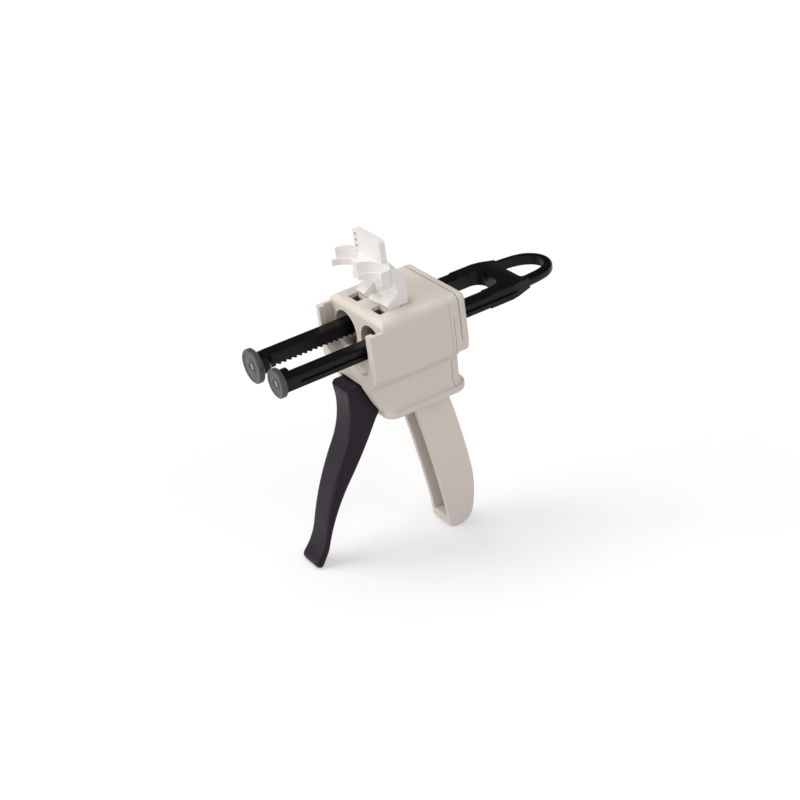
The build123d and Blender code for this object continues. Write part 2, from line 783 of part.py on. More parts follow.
def make_drive_pawl():
    """Return the forked pawl: two cheeks on the tongue and a head bar with a pad under each rack."""
    bar_low = pawl_z + pawl_bar_low
    bar_high = pawl_z + pawl_bar_high
    back, front = pawl_x - pawl_back, pawl_x + pawl_front
    cheek = polygon((back, pawl_z), (pawl_x + pawl_back, pawl_z), (front, bar_high), (back, bar_high))
    side = side_slab(cheek, pawl_cheek_in, pawl_cheek_out)
    side += pin_along_y(pawl_x, pawl_z, pawl_eye, pawl_cheek_in, pawl_cheek_out)
    edge_height = pawl_z + pawl_lift
    pad = polygon((back, bar_low), (front, bar_low), (front, edge_height), (front - pawl_land, edge_height), (back, bar_high))
    side += side_slab(pad, pawl_pad_in, pawl_half)
    pawl = both_sides(side) + block(back, front, -pawl_half, pawl_half, bar_low, bar_high)
    pawl -= pin_along_y(pawl_x, pawl_z, pawl_pin / 2 + pin_play, -pawl_half, pawl_half)
    return pawl


def make_release_lever():
    """Return the rocking hold pawl: a pad bar under the racks and a paddle behind the body."""
    pad_top = -rod_top - release_pad_gap
    bar_top = pad_top - release_pad_height
    bar_bottom = bar_top - release_bar_height
    arm = polygon(
        (release_x + 0.5, release_z + release_eye - 0.3), (release_pad_front, bar_top), (release_pad_back, bar_top),
        (release_pad_back, bar_bottom), (release_pad_front, bar_bottom),
        (release_x - release_eye - 1.4, release_z - 0.6), (release_x - 0.5, release_z - release_eye + 0.3),
    )
    lever = side_slab(arm, -release_half, release_half)
    lever += pin_along_y(release_x, release_z, release_eye, -release_half, release_half)
    bar = block(release_pad_back, release_pad_front, -pawl_half, pawl_half, bar_bottom, bar_top)
    pad = block(release_pad_back, release_pad_front, pawl_pad_in, pawl_half, bar_top - 0.1, pad_top)
    pad_slope = polygon(
        (release_pad_back - 1, pad_top + 1), (release_pad_back - 1, pad_top - 2), (release_pad_back + 2.4, pad_top + 1)
    )
    pad -= side_slab(pad_slope, 0, wing_half)
    lever += bar + both_sides(pad)
    stem_top = overhang_floor - stem_drop
    stem_bottom = stem_top - stem_height
    paddle_back = paddle_front - paddle_thickness
    stem = polygon(
        (release_x, release_z - 0.4), (trunk_back - 0.4, stem_top), (paddle_back, stem_top),
        (paddle_back, stem_bottom), (trunk_back, stem_bottom), (release_x, release_z - release_eye),
    )
    lever += side_slab(stem, -release_stem_half, release_stem_half)
    paddle_side = polygon(
        (paddle_front, stem_top), (paddle_front, paddle_bottom), (paddle_back, paddle_bottom), (paddle_back, stem_top)
    )
    paddle = side_slab(paddle_side, -paddle_half, paddle_half)
    paddle = fillet(paddle.edges().filter_by(Axis.X), paddle_corner)
    lever += paddle
    lever -= pin_along_y(release_x, release_z, release_pin / 2 + pin_play, -release_half - 1, release_half + 1)
    return lever


def make_grip():
    """Return the fixed handle: a channel that is open to the front, with a bar across its foot."""
    top_front = (grip_front_x, skirt_floor)
    top_back = (grip_back_x, skirt_floor)
    toe = (toe_x, toe_z)
    palm = ThreePointArc(top_back, (palm_middle_x, palm_middle_z), (palm_x, palm_z))
    heel = TangentArc(palm @ 1, (heel_x, grip_foot), tangent=palm % 1)
    foot = TangentArc(heel @ 1, toe, tangent=heel % 1)
    front = ThreePointArc((shank_x, shank_z), (shank_middle_x, shank_middle_z), top_front)
    outline = make_face([palm, heel, foot, Line(toe, front @ 0), front, Line(top_front, top_back)])
    grip = side_slab(outline, -grip_half, grip_half)
    grip = fillet(edges_along(grip, (palm, heel, foot), grip_half), grip_edge)
    hollow_top = (grip_back_x + grip_web, skirt_floor)
    hollow_palm = (palm_x + grip_web, palm_z)
    hollow_back = ThreePointArc(hollow_top, (palm_middle_x + grip_web, palm_middle_z), hollow_palm)
    hollow_heel = TangentArc(hollow_back @ 1, (heel_x + grip_web, grip_foot), tangent=hollow_back % 1)
    before = grip_front_x + 3
    hollow_rest = Polyline(hollow_heel @ 1, (before, grip_foot), (before, skirt_floor), hollow_back @ 0)
    hollow = side_slab(make_face([hollow_back, hollow_heel, hollow_rest]), grip_wall - grip_half, grip_half - grip_wall)
    grip -= hollow
    grip += block(grip_back_x, grip_front_x, grip_wall - grip_half, grip_half - grip_wall, skirt_floor - grip_web, skirt_floor)
    grip += block(spigot_back, spigot_front, -spigot_half, spigot_half, skirt_floor - 0.5, skirt_floor + spigot_height)
    return grip


housing = make_housing() + spring_seats()
plunger = make_plunger()
lock_lever = make_lock_lever()
trigger = make_trigger()

# the two compression springs stand straight up when the tool stands, so they lean back along it

def upright_spring(name, x, foot, room, radius, wire, turns):
    """Return a coil that fills the room between two level seats but for a hair at each end."""
    pitch = (room - 2 * seat_gap - wire) / turns
    spring = coil(name, radius, wire, pitch, turns)
    return Pos(*upright_place(x, foot, seat_gap + wire / 2)) * Rot(0, -nose_dip, 0) * spring


def upright_place(x, z, height):
    """Return the same point as upright, with the middle plane as its Y."""
    along, up = upright(x, z, height)
    return along, 0, up


return_spring = upright_spring("return spring", return_x, heel_top, return_room, return_coil, return_wire, return_turns)
release_spring = upright_spring(
    "release spring", release_spring_x, release_spring_foot, release_room, release_coil, release_wire, release_turns
)

pawl_spring = coil("pawl spring", pawl_coil, pawl_wire, pawl_wire + pawl_coil_gap, pawl_turns)
pawl_spring = Pos(pawl_x, tongue_half + running_gap / 2 + pawl_wire / 2, pawl_z) * Rot(-90, 0, 0) * pawl_spring

parts = {
    "housing": housing,
    "rear_cover": make_cover(),
    "cover_screw_near": make_cover_screw(1),
    "cover_screw_far": make_cover_screw(-1),
    "grip": make_grip(),
    "lock_lever": lock_lever,
    "lock_lever_pin": pin_along_y(lever_x, lever_z, lever_pin / 2, -lever_pin_half, lever_pin_half),
    "plunger": plunger,
    "plunger_disc_large": make_disc(-1, large_disc),
    "plunger_disc_small": make_disc(1, small_disc),
    "disc_screw_large": make_disc_screw(-1),
    "disc_screw_small": make_disc_screw(1),
    "trigger": trigger,
    "trigger_pin": pin_along_y(trigger_x, trigger_z, trigger_pin / 2, -trigger_pin_half, trigger_pin_half),
    "trigger_return_spring": return_spring,
    "drive_pawl": make_drive_pawl(),
    "drive_pawl_pin": pin_along_y(pawl_x, pawl_z, pawl_pin / 2, -pawl_cheek_out, pawl_cheek_out),
    "drive_pawl_spring": pawl_spring,
    "release_lever": make_release_lever(),
    "release_lever_pin": pin_along_y(release_x, release_z, release_pin / 2, -release_pin_half, release_pin_half),
    "release_spring": release_spring,
}

os.makedirs("parts", exist_ok=True)
stand = Rot(0, nose_dip, 0)
for name, shape in parts.items():
    export_step(stand * shape, f"parts/{name}.step")
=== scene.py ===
"""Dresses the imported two-barrel cartridge dispenser and sets it in a plain bright studio."""

import json
import logging
import math
from collections.abc import Callable
from dataclasses import dataclass, field
from enum import Enum
from functools import cache

import bpy
from mathutils import Matrix, Vector

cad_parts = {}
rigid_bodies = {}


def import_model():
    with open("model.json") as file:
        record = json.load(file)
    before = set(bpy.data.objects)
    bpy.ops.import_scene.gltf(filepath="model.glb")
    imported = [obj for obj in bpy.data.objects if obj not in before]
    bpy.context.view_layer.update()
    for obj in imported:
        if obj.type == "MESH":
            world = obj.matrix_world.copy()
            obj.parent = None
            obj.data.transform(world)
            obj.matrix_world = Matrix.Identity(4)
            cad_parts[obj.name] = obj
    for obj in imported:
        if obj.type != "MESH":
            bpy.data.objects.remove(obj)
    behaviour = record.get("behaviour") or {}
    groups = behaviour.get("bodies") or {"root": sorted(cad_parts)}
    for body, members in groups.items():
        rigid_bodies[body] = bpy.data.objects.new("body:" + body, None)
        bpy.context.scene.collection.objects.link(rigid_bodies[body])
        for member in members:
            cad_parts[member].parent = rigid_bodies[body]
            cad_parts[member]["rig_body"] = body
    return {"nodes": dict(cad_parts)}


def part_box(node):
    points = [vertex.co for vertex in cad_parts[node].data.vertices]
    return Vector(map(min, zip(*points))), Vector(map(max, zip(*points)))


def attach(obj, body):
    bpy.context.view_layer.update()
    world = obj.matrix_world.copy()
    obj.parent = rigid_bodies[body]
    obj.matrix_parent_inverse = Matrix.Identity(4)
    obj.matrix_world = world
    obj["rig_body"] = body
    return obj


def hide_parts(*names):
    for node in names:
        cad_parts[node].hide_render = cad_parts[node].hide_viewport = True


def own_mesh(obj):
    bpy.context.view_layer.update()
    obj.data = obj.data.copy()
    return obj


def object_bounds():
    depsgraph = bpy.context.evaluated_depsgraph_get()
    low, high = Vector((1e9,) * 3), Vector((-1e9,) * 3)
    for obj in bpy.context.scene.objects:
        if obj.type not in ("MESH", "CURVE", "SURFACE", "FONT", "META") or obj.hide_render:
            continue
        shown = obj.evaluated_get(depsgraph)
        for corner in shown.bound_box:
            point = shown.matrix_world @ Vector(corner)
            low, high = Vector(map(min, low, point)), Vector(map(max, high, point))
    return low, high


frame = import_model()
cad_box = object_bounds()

log = logging.getLogger("dispenser")

Piece = bpy.types.Object
Tree = bpy.types.NodeTree
Node = bpy.types.Node
Socket = bpy.types.NodeSocket
Triple = tuple[float, float, float]
Tone = tuple[int, int, int]
Station = tuple[float, float]

MM = 0.001
NOSE_DIP = math.radians(8.5)
TURN = Matrix.Rotation(NOSE_DIP, 4, "Y")
LANE = 11.25
WELD_GAP = 0.01
FLAT_ANGLE = 0.6
SAME_RADIUS = 1e-6


class Side(Enum):
    """The two barrels, by the side of the middle plane that they lie on."""

    LARGE = -1
    SMALL = 1


class Slot(Enum):
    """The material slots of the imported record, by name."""

    SHELL = "ivory_shell"
    COVER = "ivory_cover"
    GRIP = "ivory_grip"
    LEVER = "white_lever"
    PLUNGER = "black_plunger"
    DISC = "grey_disc"
    SCREW = "bright_screw"
    COVER_SCREW = "cover_screw"
    TRIGGER = "charcoal_trigger"
    RELEASE = "charcoal_release"
    PAWL = "pawl_steel"
    PIN = "pin_steel"
    SPRING = "spring_steel"


def linear(tone: Tone) -> tuple[float, float, float, float]:
    """Turn a colour as seen on a screen into scene-linear values.

    Args:
        tone: Red, green and blue, 0 to 255.

    Returns:
        The linear colour with full alpha.
    """
    parts = []
    for channel in tone:
        share = channel / 255
        parts.append(share / 12.92 if share <= 0.04045 else ((share + 0.055) / 1.055) ** 2.4)
    return (parts[0], parts[1], parts[2], 1.0)


def tool_point(x: float, y: float, z: float) -> Vector:
    """Return the place in the standing frame of a point given in millimetres along the barrels."""
    return TURN @ Vector((x * MM, y * MM, z * MM))


def in_tool(point: Vector) -> Vector:
    """Return where a point of the standing frame lies along the barrels, in millimetres."""
    return (TURN.transposed() @ point) / MM


# Modelling by operators


def select_only(*pieces: Piece) -> None:
    """Select the given objects and nothing else.

    Args:
        pieces: The objects, of which the first becomes the active one.
    """
    bpy.ops.object.select_all(action="DESELECT")
    for piece in pieces:
        piece.select_set(True)
    bpy.context.view_layer.objects.active = pieces[0]


def enter_edit(piece: Piece, select: str = "FACE") -> None:
    """Open one object in edit mode.

    Args:
        piece: The object.
        select: What is selected there, VERT, EDGE or FACE.
    """
    select_only(piece)
    bpy.ops.object.mode_set(mode="EDIT")
    bpy.ops.mesh.select_mode(type=select)


def leave_edit() -> None:
    """Go back to object mode."""
    bpy.ops.object.mode_set(mode="OBJECT")


def unpick(piece: Piece) -> None:
    """Clear the picked vertices, edges and faces of a mesh, in object mode."""
    for part in (*piece.data.vertices, *piece.data.edges, *piece.data.polygons):
        part.select = False


def pick_faces(piece: Piece, rule: Callable[[Vector, Vector], bool]) -> None:
    """Pick the faces of a mesh that a rule accepts.

    Args:
        piece: The object, in object mode.
        rule: Called with a face's centre and normal, gives True to pick it.
    """
    unpick(piece)
    for face in piece.data.polygons:
        face.select = bool(rule(face.center, face.normal))


def pick_edges(piece: Piece, rule: Callable[[Vector, Vector], bool]) -> None:
    """Pick the edges of a mesh that a rule accepts, with their ends.

    Args:
        piece: The object, in object mode.
        rule: Called with an edge's two ends in the tool's own millimetres, gives True to pick it.
    """
    unpick(piece)
    mesh = piece.data
    for edge in mesh.edges:
        ends = [in_tool(mesh.vertices[index].co) for index in edge.vertices]
        if rule(*ends):
            edge.select = True
            for index in edge.vertices:
                mesh.vertices[index].select = True


def apply_modifiers(piece: Piece) -> None:
    """Apply all modifiers of a piece in order.

    Args:
        piece: The object.
    """
    select_only(piece)
    for modifier in list(piece.modifiers):
        bpy.ops.object.modifier_apply(modifier=modifier.name)


def round_picked(piece: Piece, width: float, segments: int) -> None:
    """Round the picked edges of a piece.

    Args:
        piece: The object, in object mode.
        width: Width of the rounding in millimetres.
        segments: How many faces the rounding has.
    """
    enter_edit(piece, "EDGE")
    bpy.ops.mesh.bevel(offset=width * MM, segments=segments, affect="EDGES", clamp_overlap=True)
    leave_edit()


def keep_half(piece: Piece, level: float, above: bool) -> None:
    """Cut a piece level through and keep its upper or lower half, closed again.

    Args:
        piece: The object to cut.
        level: Height of the cut in the tool's own millimetres.
        above: True to keep the upper half.
    """
    enter_edit(piece)
    bpy.ops.mesh.select_all(action="SELECT")
    bpy.ops.mesh.bisect(
        plane_co=tool_point(0, 0, level), plane_no=TURN @ Vector((0, 0, 1)), use_fill=True,
        clear_inner=above, clear_outer=not above,
    )
    leave_edit()


def copied(piece: Piece, shift: Triple) -> Piece:
    """Copy an unsettled piece to another place, with a mesh of its own.

    Args:
        piece: The object to copy.
        shift: How far the copy is moved, in millimetres.

    Returns:
        The copy.
    """
    twin = piece.copy()
    twin.data = piece.data.copy()
    bpy.context.scene.collection.objects.link(twin)
    twin.location = piece.location + Vector(shift) * MM
    bpy.context.view_layer.update()
    return twin


def join_all(*pieces: Piece) -> Piece:
    """Join several objects into the first one.

    Args:
        pieces: The objects.

    Returns:
        The first object with all meshes in it.
    """
    select_only(*pieces)
    bpy.ops.object.join()
    return bpy.context.view_layer.objects.active


def round_edges(piece: Piece, width: float, segments: int = 2, angle: float = 30.0) -> None:
    """Round the sharp edges of a piece.

    Args:
        piece: The object whose mesh is rounded.
        width: Width of the rounding in millimetres.
        segments: How many faces the rounding has.
        angle: Edges that turn more than this many degrees are rounded.
    """
    bevel = piece.modifiers.new("rounding", "BEVEL")
    bevel.width = width * MM
    bevel.segments = segments
    bevel.limit_method = "ANGLE"
    bevel.angle_limit = math.radians(angle)
    bevel.miter_outer = "MITER_SHARP"
    bevel.use_clamp_overlap = True
    apply_modifiers(piece)


def smooth(piece: Piece, angle: float = 34.0) -> None:
    """Shade a piece smooth but for edges that turn more than an angle."""
    select_only(piece)
    bpy.ops.object.shade_smooth_by_angle(angle=math.radians(angle), keep_sharp_edges=False)


def even_shading(piece: Piece) -> None:
    """Let the broad flat faces of a piece lead its shading, so that they look flat up to the rounding.

    Args:
        piece: The object, already shaded smooth.
    """
    weighted = piece.modifiers.new("even_shading", "WEIGHTED_NORMAL")
    weighted.mode = "FACE_AREA"
    weighted.weight = 80
    weighted.keep_sharp = True
    apply_modifiers(piece)


def settle(piece: Piece, turned: bool = True) -> None:
    """Put the place of a piece into its mesh.

    Args:
        piece: The object to settle.
        turned: True if it was modelled along the barrels and has to be turned nose-down.
    """
    if turned:
        piece.matrix_world = TURN @ piece.matrix_world
    select_only(piece)
    bpy.ops.object.transform_apply(location=True, rotation=True, scale=True)


def dress(piece: Piece, name: str, finish: bpy.types.Material) -> None:
    """Name a finished piece, give it its material and report it.

    Args:
        piece: The finished object.
        name: Its new name.
        finish: Its material.
    """
    piece.name = name
    piece.data.name = name
    piece.data.materials.clear()
    piece.data.materials.append(finish)
    log.info("%s: %d faces", name, len(piece.data.polygons))


def put_on(piece: Piece, name: str, node: str, finish: bpy.types.Material) -> None:
    """Dress a finished piece and let it stand for its frame node.

    Args:
        piece: The finished object.
        name: Its new name.
        node: The frame node that it stands for.
        finish: Its material.
    """
    dress(piece, name, finish)
    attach(piece, frame["nodes"][node]["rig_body"])
    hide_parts(node)


def add_to(piece: Piece, name: str, body: str, finish: bpy.types.Material) -> None:
    """Dress a finished piece that is added beside the frame's own nodes.

    Args:
        piece: The finished object.
        name: Its new name.
        body: The body that it moves with.
        finish: Its material.
    """
    dress(piece, name, finish)
    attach(piece, body)


def welded_copy(node: str) -> Piece:
    """Copy a frame node as one clean welded mesh.

    Args:
        node: The frame node to copy.

    Returns:
        The new object.
    """
    source = frame["nodes"][node]
    piece = bpy.data.objects.new(node + "_dressed", source.data.copy())
    bpy.context.scene.collection.objects.link(piece)
    for key in list(piece.keys()):
        del piece[key]
    enter_edit(piece)
    bpy.ops.mesh.select_all(action="SELECT")
    bpy.ops.mesh.remove_doubles(threshold=WELD_GAP * MM)
    bpy.ops.mesh.dissolve_limited(angle_limit=math.radians(FLAT_ANGLE), use_dissolve_boundaries=False)
    leave_edit()
    return piece


def refine(piece: Piece, width: float) -> None:
    """Round the sharp edges of a welded piece and shade it.

    Args:
        piece: The welded object.
        width: Rounding in millimetres.
    """
    round_edges(piece, width)
    smooth(piece)
    even_shading(piece)


def refined_copy(node: str, width: float) -> Piece:
    """Copy a frame node with its sharp edges rounded.

    Args:
        node: The frame node to copy.
        width: Rounding in millimetres.

    Returns:
        The new object.
    """
    piece = welded_copy(node)
    refine(piece, width)
    return piece


def softened_copy(node: str, grain: float, top: float, fade: float, passes: int) -> Piece:
    """Copy a frame node as a fine even mesh whose lower part is worn soft.

    Args:
        node: The frame node to copy.
        grain: Size of the mesh's faces in millimetres.
        top: Level in the tool's own millimetres above which nothing is softened.
        fade: How far below that level the softening reaches its full strength.
        passes: How many times the surface is relaxed.

    Returns:
        The new object.
    """
    piece = welded_copy(node)
    even = piece.modifiers.new("even_mesh", "REMESH")
    even.mode = "VOXEL"
    even.voxel_size = grain * MM
    apply_modifiers(piece)
    group = piece.vertex_groups.new(name="worn")
    for vertex in piece.data.vertices:
        depth = (top - in_tool(vertex.co).z) / fade
        if depth > 0:
            group.add([vertex.index], min(depth, 1.0), "REPLACE")
    relax = piece.modifiers.new("relax", "SMOOTH")
    relax.factor = 0.5
    relax.iterations = passes
    relax.vertex_group = "worn"
    apply_modifiers(piece)
    piece.vertex_groups.clear()
    return piece


def turned_bar(stations: list[Station], y: float, z: float, sides: int) -> Piece:
    """Turn a solid bar along the barrels from a list of stations.

    Args:
        stations: Pairs of place along X and radius, in millimetres, from back to front.
        y: Place of the axis on Y.
        z: Place of the axis on Z.
        sides: Faces around.

    Returns:
        The new object, in the tool's own axes.
    """
    here, radius = stations[0]
    bpy.ops.mesh.primitive_circle_add(
        vertices=sides, radius=radius * MM, fill_type="NGON",
        location=(here * MM, y * MM, z * MM), rotation=(0, math.pi / 2, 0),
    )
    piece = bpy.context.object
    bpy.ops.object.transform_apply(location=False, rotation=True, scale=True)
    enter_edit(piece)
    bpy.ops.mesh.select_all(action="SELECT")
    for place, new_radius in stations[1:]:
        bpy.ops.mesh.extrude_region_move(TRANSFORM_OT_translate={"value": ((place - here) * MM, 0, 0)})
        if abs(new_radius - radius) > SAME_RADIUS:
            share = new_radius / radius
            bpy.ops.transform.resize(
                value=(1, share, share), center_override=(place * MM, y * MM, z * MM), orient_type="GLOBAL"
            )
        here, radius = place, new_radius
    bpy.ops.mesh.select_all(action="SELECT")
    bpy.ops.mesh.remove_doubles(threshold=WELD_GAP / 10 * MM)
    bpy.ops.mesh.normals_make_consistent(inside=False)
    leave_edit()
    return piece


def threaded(start: float, end: float, radius: float, pitch: float, depth: float) -> list[Station]:
    """Work out the stations of a cut thread.

    Args:
        start: Where the thread starts, in millimetres along the barrels.
        end: The place at which no new turn starts.
        radius: Outer radius of the thread.
        pitch: Length of a turn.
        depth: How deep it is cut.

    Returns:
        A groove and a crest for each turn.
    """
    stations = []
    place = start
    while place < end:
        stations += [(place + pitch / 2, radius - depth), (place + pitch, radius)]
        place += pitch
    return stations


def cut_away(piece: Piece, cutter: Piece) -> None:
    """Take the shape of a cutter out of a piece and delete the cutter.

    Args:
        piece: The object to cut.
        cutter: The object that cuts.
    """
    cut = piece.modifiers.new("cut", "BOOLEAN")
    cut.operation = "DIFFERENCE"
    cut.solver = "EXACT"
    cut.object = cutter
    apply_modifiers(piece)
    bpy.data.objects.remove(cutter, do_unlink=True)


def cut_slot(piece: Piece, size: Triple, place: Triple) -> None:
    """Cut a block-shaped slot out of a piece.

    Args:
        piece: The object to cut.
        size: Full size of the block in millimetres.
        place: Its middle in millimetres, in the tool's own axes.
    """
    bpy.ops.mesh.primitive_cube_add(size=1, location=[value * MM for value in place])
    cutter = bpy.context.object
    cutter.scale = [value * MM for value in size]
    bpy.ops.object.transform_apply(location=False, rotation=False, scale=True)
    cut_away(piece, cutter)


def cut_socket(piece: Piece, radius: float, depth: float, place: Triple) -> None:
    """Cut a six-sided socket into the front of a screw head.

    Args:
        piece: The screw, in the tool's own axes.
        radius: Corner radius of the socket in millimetres.
        depth: Its depth in millimetres.
        place: Middle of its mouth in millimetres.
    """
    bpy.ops.mesh.primitive_cylinder_add(
        vertices=6, radius=radius * MM, depth=2 * depth * MM, location=[value * MM for value in place],
        rotation=(0, math.pi / 2, 0),
    )
    cut_away(piece, bpy.context.object)


# Shared effects as node groups


def fill(node: Node, values: dict[str, float | tuple[float, ...]]) -> None:
    """Set a node's own values, by the names of its inputs."""
    for name, value in values.items():
        node.inputs[name].default_value = value


def link(source: Socket, target: Socket) -> None:
    """Join two sockets of one tree."""
    source.id_data.links.new(source, target)


@dataclass
class GroupBuilder:
    """Builds one shader node group with named number sockets."""

    name: str
    takes: dict[str, float]
    gives: tuple[str, ...]
    tree: Tree = field(init=False)
    start: Node = field(init=False)
    end: Node = field(init=False)

    def __post_init__(self) -> None:
        """Create the group with its sockets and its two end nodes."""
        self.tree = bpy.data.node_groups.new(self.name, "ShaderNodeTree")
        self.start = self.tree.nodes.new("NodeGroupInput")
        self.end = self.tree.nodes.new("NodeGroupOutput")
        for name, default in self.takes.items():
            self.socket(name, "INPUT").default_value = default
        for name in self.gives:
            self.socket(name, "OUTPUT")

    def socket(self, name: str, way: str) -> bpy.types.NodeTreeInterfaceSocket:
        """Add a number socket to the outside of the group."""
        return self.tree.interface.new_socket(name=name, in_out=way, socket_type="NodeSocketFloat")

    def taken(self, name: str) -> Socket:
        """Return the socket inside the group that an input's value comes from."""
        return self.start.outputs[name]

    def put_out(self, value: Socket, name: str) -> None:
        """Lead a value to an output socket."""
        link(value, self.end.inputs[name])

    def math(self, operation: str, first: Socket | float, second: Socket | float | None = None,
             clamp: bool = False) -> Socket:
        """Add a math node whose inputs are sockets or plain numbers.

        Args:
            operation: The math node's operation.
            first: Socket or number.
            second: Socket, number or None.
            clamp: True to clamp the result to 0 and 1.

        Returns:
            The result's socket.
        """
        made = self.tree.nodes.new("ShaderNodeMath")
        made.operation = operation
        made.use_clamp = clamp
        for index, value in enumerate((first, second)):
            if isinstance(value, (int, float)):
                made.inputs[index].default_value = value
            elif value is not None:
                link(value, made.inputs[index])
        return made.outputs[0]

    def place(self) -> Socket:
        """Add the point of the surface that is shaded."""
        return self.tree.nodes.new("ShaderNodeTexCoord").outputs["Object"]

    def split(self, source: Socket) -> Node:
        """Split a vector into its three parts.

        Args:
            source: The vector's socket.

        Returns:
            The node with the outputs X, Y and Z.
        """
        made = self.tree.nodes.new("ShaderNodeSeparateXYZ")
        link(source, made.inputs[0])
        return made

    def noise(self, place: Socket, size: str, detail: float, roughness: float = 0.5) -> Socket:
        """Add a noise over the surface.

        Args:
            place: The point that it is read at.
            size: Name of the group's input that sets its scale.
            detail: How many finer layers it has.
            roughness: How strong these layers are.

        Returns:
            The noise's value.
        """
        made = self.tree.nodes.new("ShaderNodeTexNoise")
        fill(made, {"Detail": detail, "Roughness": roughness})
        link(place, made.inputs["Vector"])
        link(self.taken(size), made.inputs["Scale"])
        return made.outputs["Fac"]

    def in_tool(self, spot: Node) -> tuple[Socket, Socket]:
        """Work out where a point of the standing frame lies in the tool's own axes.

        Args:
            spot: The point, split into its parts.

        Returns:
            Its place along the barrels and its level over them, in metres.
        """
        across, rise = spot.outputs["X"], spot.outputs["Z"]
        forward = self.math("MULTIPLY", across, math.cos(NOSE_DIP))
        lowered = self.math("MULTIPLY", rise, math.sin(NOSE_DIP))
        raised = self.math("MULTIPLY", across, math.sin(NOSE_DIP))
        upright = self.math("MULTIPLY", rise, math.cos(NOSE_DIP))
        return self.math("SUBTRACT", forward, lowered), self.math("ADD", raised, upright)


def moulded_grain_group() -> Tree:
    """Build the fine spark-eroded grain of moulded plastic, with slow mottling of its tone.

    Returns:
        The new group.
    """
    fine_share = 0.3
    group = GroupBuilder("moulded_grain", {"Grain Size": 2600.0, "Mottle Size": 60.0}, ("Height", "Tone"))
    place = group.place()
    fine = group.noise(place, "Grain Size", 3.0, 0.65)
    wide = group.noise(place, "Mottle Size", 2.0)
    fine_part = group.math("MULTIPLY", fine, fine_share)
    wide_part = group.math("MULTIPLY", wide, 1 - fine_share)
    group.put_out(fine, "Height")
    group.put_out(group.math("ADD", fine_part, wide_part), "Tone")
    return group.tree


def settled_dust_group() -> Tree:
    """Build the mask of fine dust that settles in patches on faces that look up.

    Returns:
        The new group.
    """
    bare_below = 0.42
    contrast = 4.0
    group = GroupBuilder("settled_dust", {"Patch Size": 90.0, "Amount": 0.3}, ("Mask",))
    facing = group.split(group.tree.nodes.new("ShaderNodeNewGeometry").outputs["Normal"])
    upward = group.math("MAXIMUM", facing.outputs["Z"], 0.0)
    patches = group.noise(group.place(), "Patch Size", 6.0, 0.7)
    raised = group.math("SUBTRACT", patches, bare_below)
    spread = group.math("MULTIPLY", raised, contrast, clamp=True)
    share = group.math("MULTIPLY", spread, upward)
    group.put_out(group.math("MULTIPLY", share, group.taken("Amount")), "Mask")
    return group.tree


def parting_line_group() -> Tree:
    """Build the hair-thin raised line that the two mould halves leave along the middle plane.

    Returns:
        The new group.
    """
    group = GroupBuilder("parting_line", {"Half Width": 0.00012}, ("Height",))
    away = group.math("ABSOLUTE", group.split(group.place()).outputs["Y"])
    share = group.math("DIVIDE", away, group.taken("Half Width"))
    group.put_out(group.math("SUBTRACT", 1.0, share, clamp=True), "Height")
    return group.tree


def seam_line_group() -> Tree:
    """Build the fine dark line of a joint that runs round the body at one place along the barrels.

    Returns:
        The new group.
    """
    group = GroupBuilder(
        "seam_line", {"Place": -0.041, "Half Width": 0.0002, "Bottom": -0.1, "Top": 0.1}, ("Mask",)
    )
    spot = group.split(group.place())
    along, _ = group.in_tool(spot)
    away = group.math("ABSOLUTE", group.math("SUBTRACT", along, group.taken("Place")))
    share = group.math("DIVIDE", away, group.taken("Half Width"))
    line = group.math("SUBTRACT", 1.0, share, clamp=True)
    below = group.math("LESS_THAN", spot.outputs["Z"], group.taken("Top"))
    above = group.math("GREATER_THAN", spot.outputs["Z"], group.taken("Bottom"))
    group.put_out(group.math("MULTIPLY", line, group.math("MULTIPLY", below, above)), "Mask")
    return group.tree


def inner_shade_group() -> Tree:
    """Build the mask of painted shade on the inside of the shell, between two places along the barrels.

    Returns:
        The new group.
    """
    group = GroupBuilder(
        "inner_shade",
        {"Front": -0.001, "Fade": 0.006, "Back": -0.0395, "Half": 0.0155, "Low": -0.034, "High": 0.0125},
        ("Mask",),
    )
    spot = group.split(group.place())
    along, level = group.in_tool(spot)
    depth = group.math("SUBTRACT", group.taken("Front"), along)
    share = group.math("DIVIDE", depth, group.taken("Fade"), clamp=True)
    for limit in (
        group.math("GREATER_THAN", along, group.taken("Back")),
        group.math("LESS_THAN", group.math("ABSOLUTE", spot.outputs["Y"]), group.taken("Half")),
        group.math("LESS_THAN", level, group.taken("High")),
        group.math("GREATER_THAN", level, group.taken("Low")),
    ):
        share = group.math("MULTIPLY", share, limit)
    group.put_out(share, "Mask")
    return group.tree


def brushed_line_group() -> Tree:
    """Build the drawn lines of bright steel, stretched along the length of the part.

    Returns:
        The new group.
    """
    group = GroupBuilder("brushed_lines", {"Line Size": 900.0}, ("Height", "Tone"))
    stretch = group.tree.nodes.new("ShaderNodeMapping")
    stretch.inputs["Scale"].default_value = (1.0, 0.06, 1.0)
    link(group.place(), stretch.inputs["Vector"])
    lines = group.noise(stretch.outputs["Vector"], "Line Size", 3.0)
    group.put_out(lines, "Height")
    group.put_out(lines, "Tone")
    return group.tree


GROUPS: dict[str, Tree] = {
    "grain": moulded_grain_group(),
    "dust": settled_dust_group(),
    "parting": parting_line_group(),
    "seam": seam_line_group(),
    "inside": inner_shade_group(),
    "brushed": brushed_line_group(),
}


# Finishes


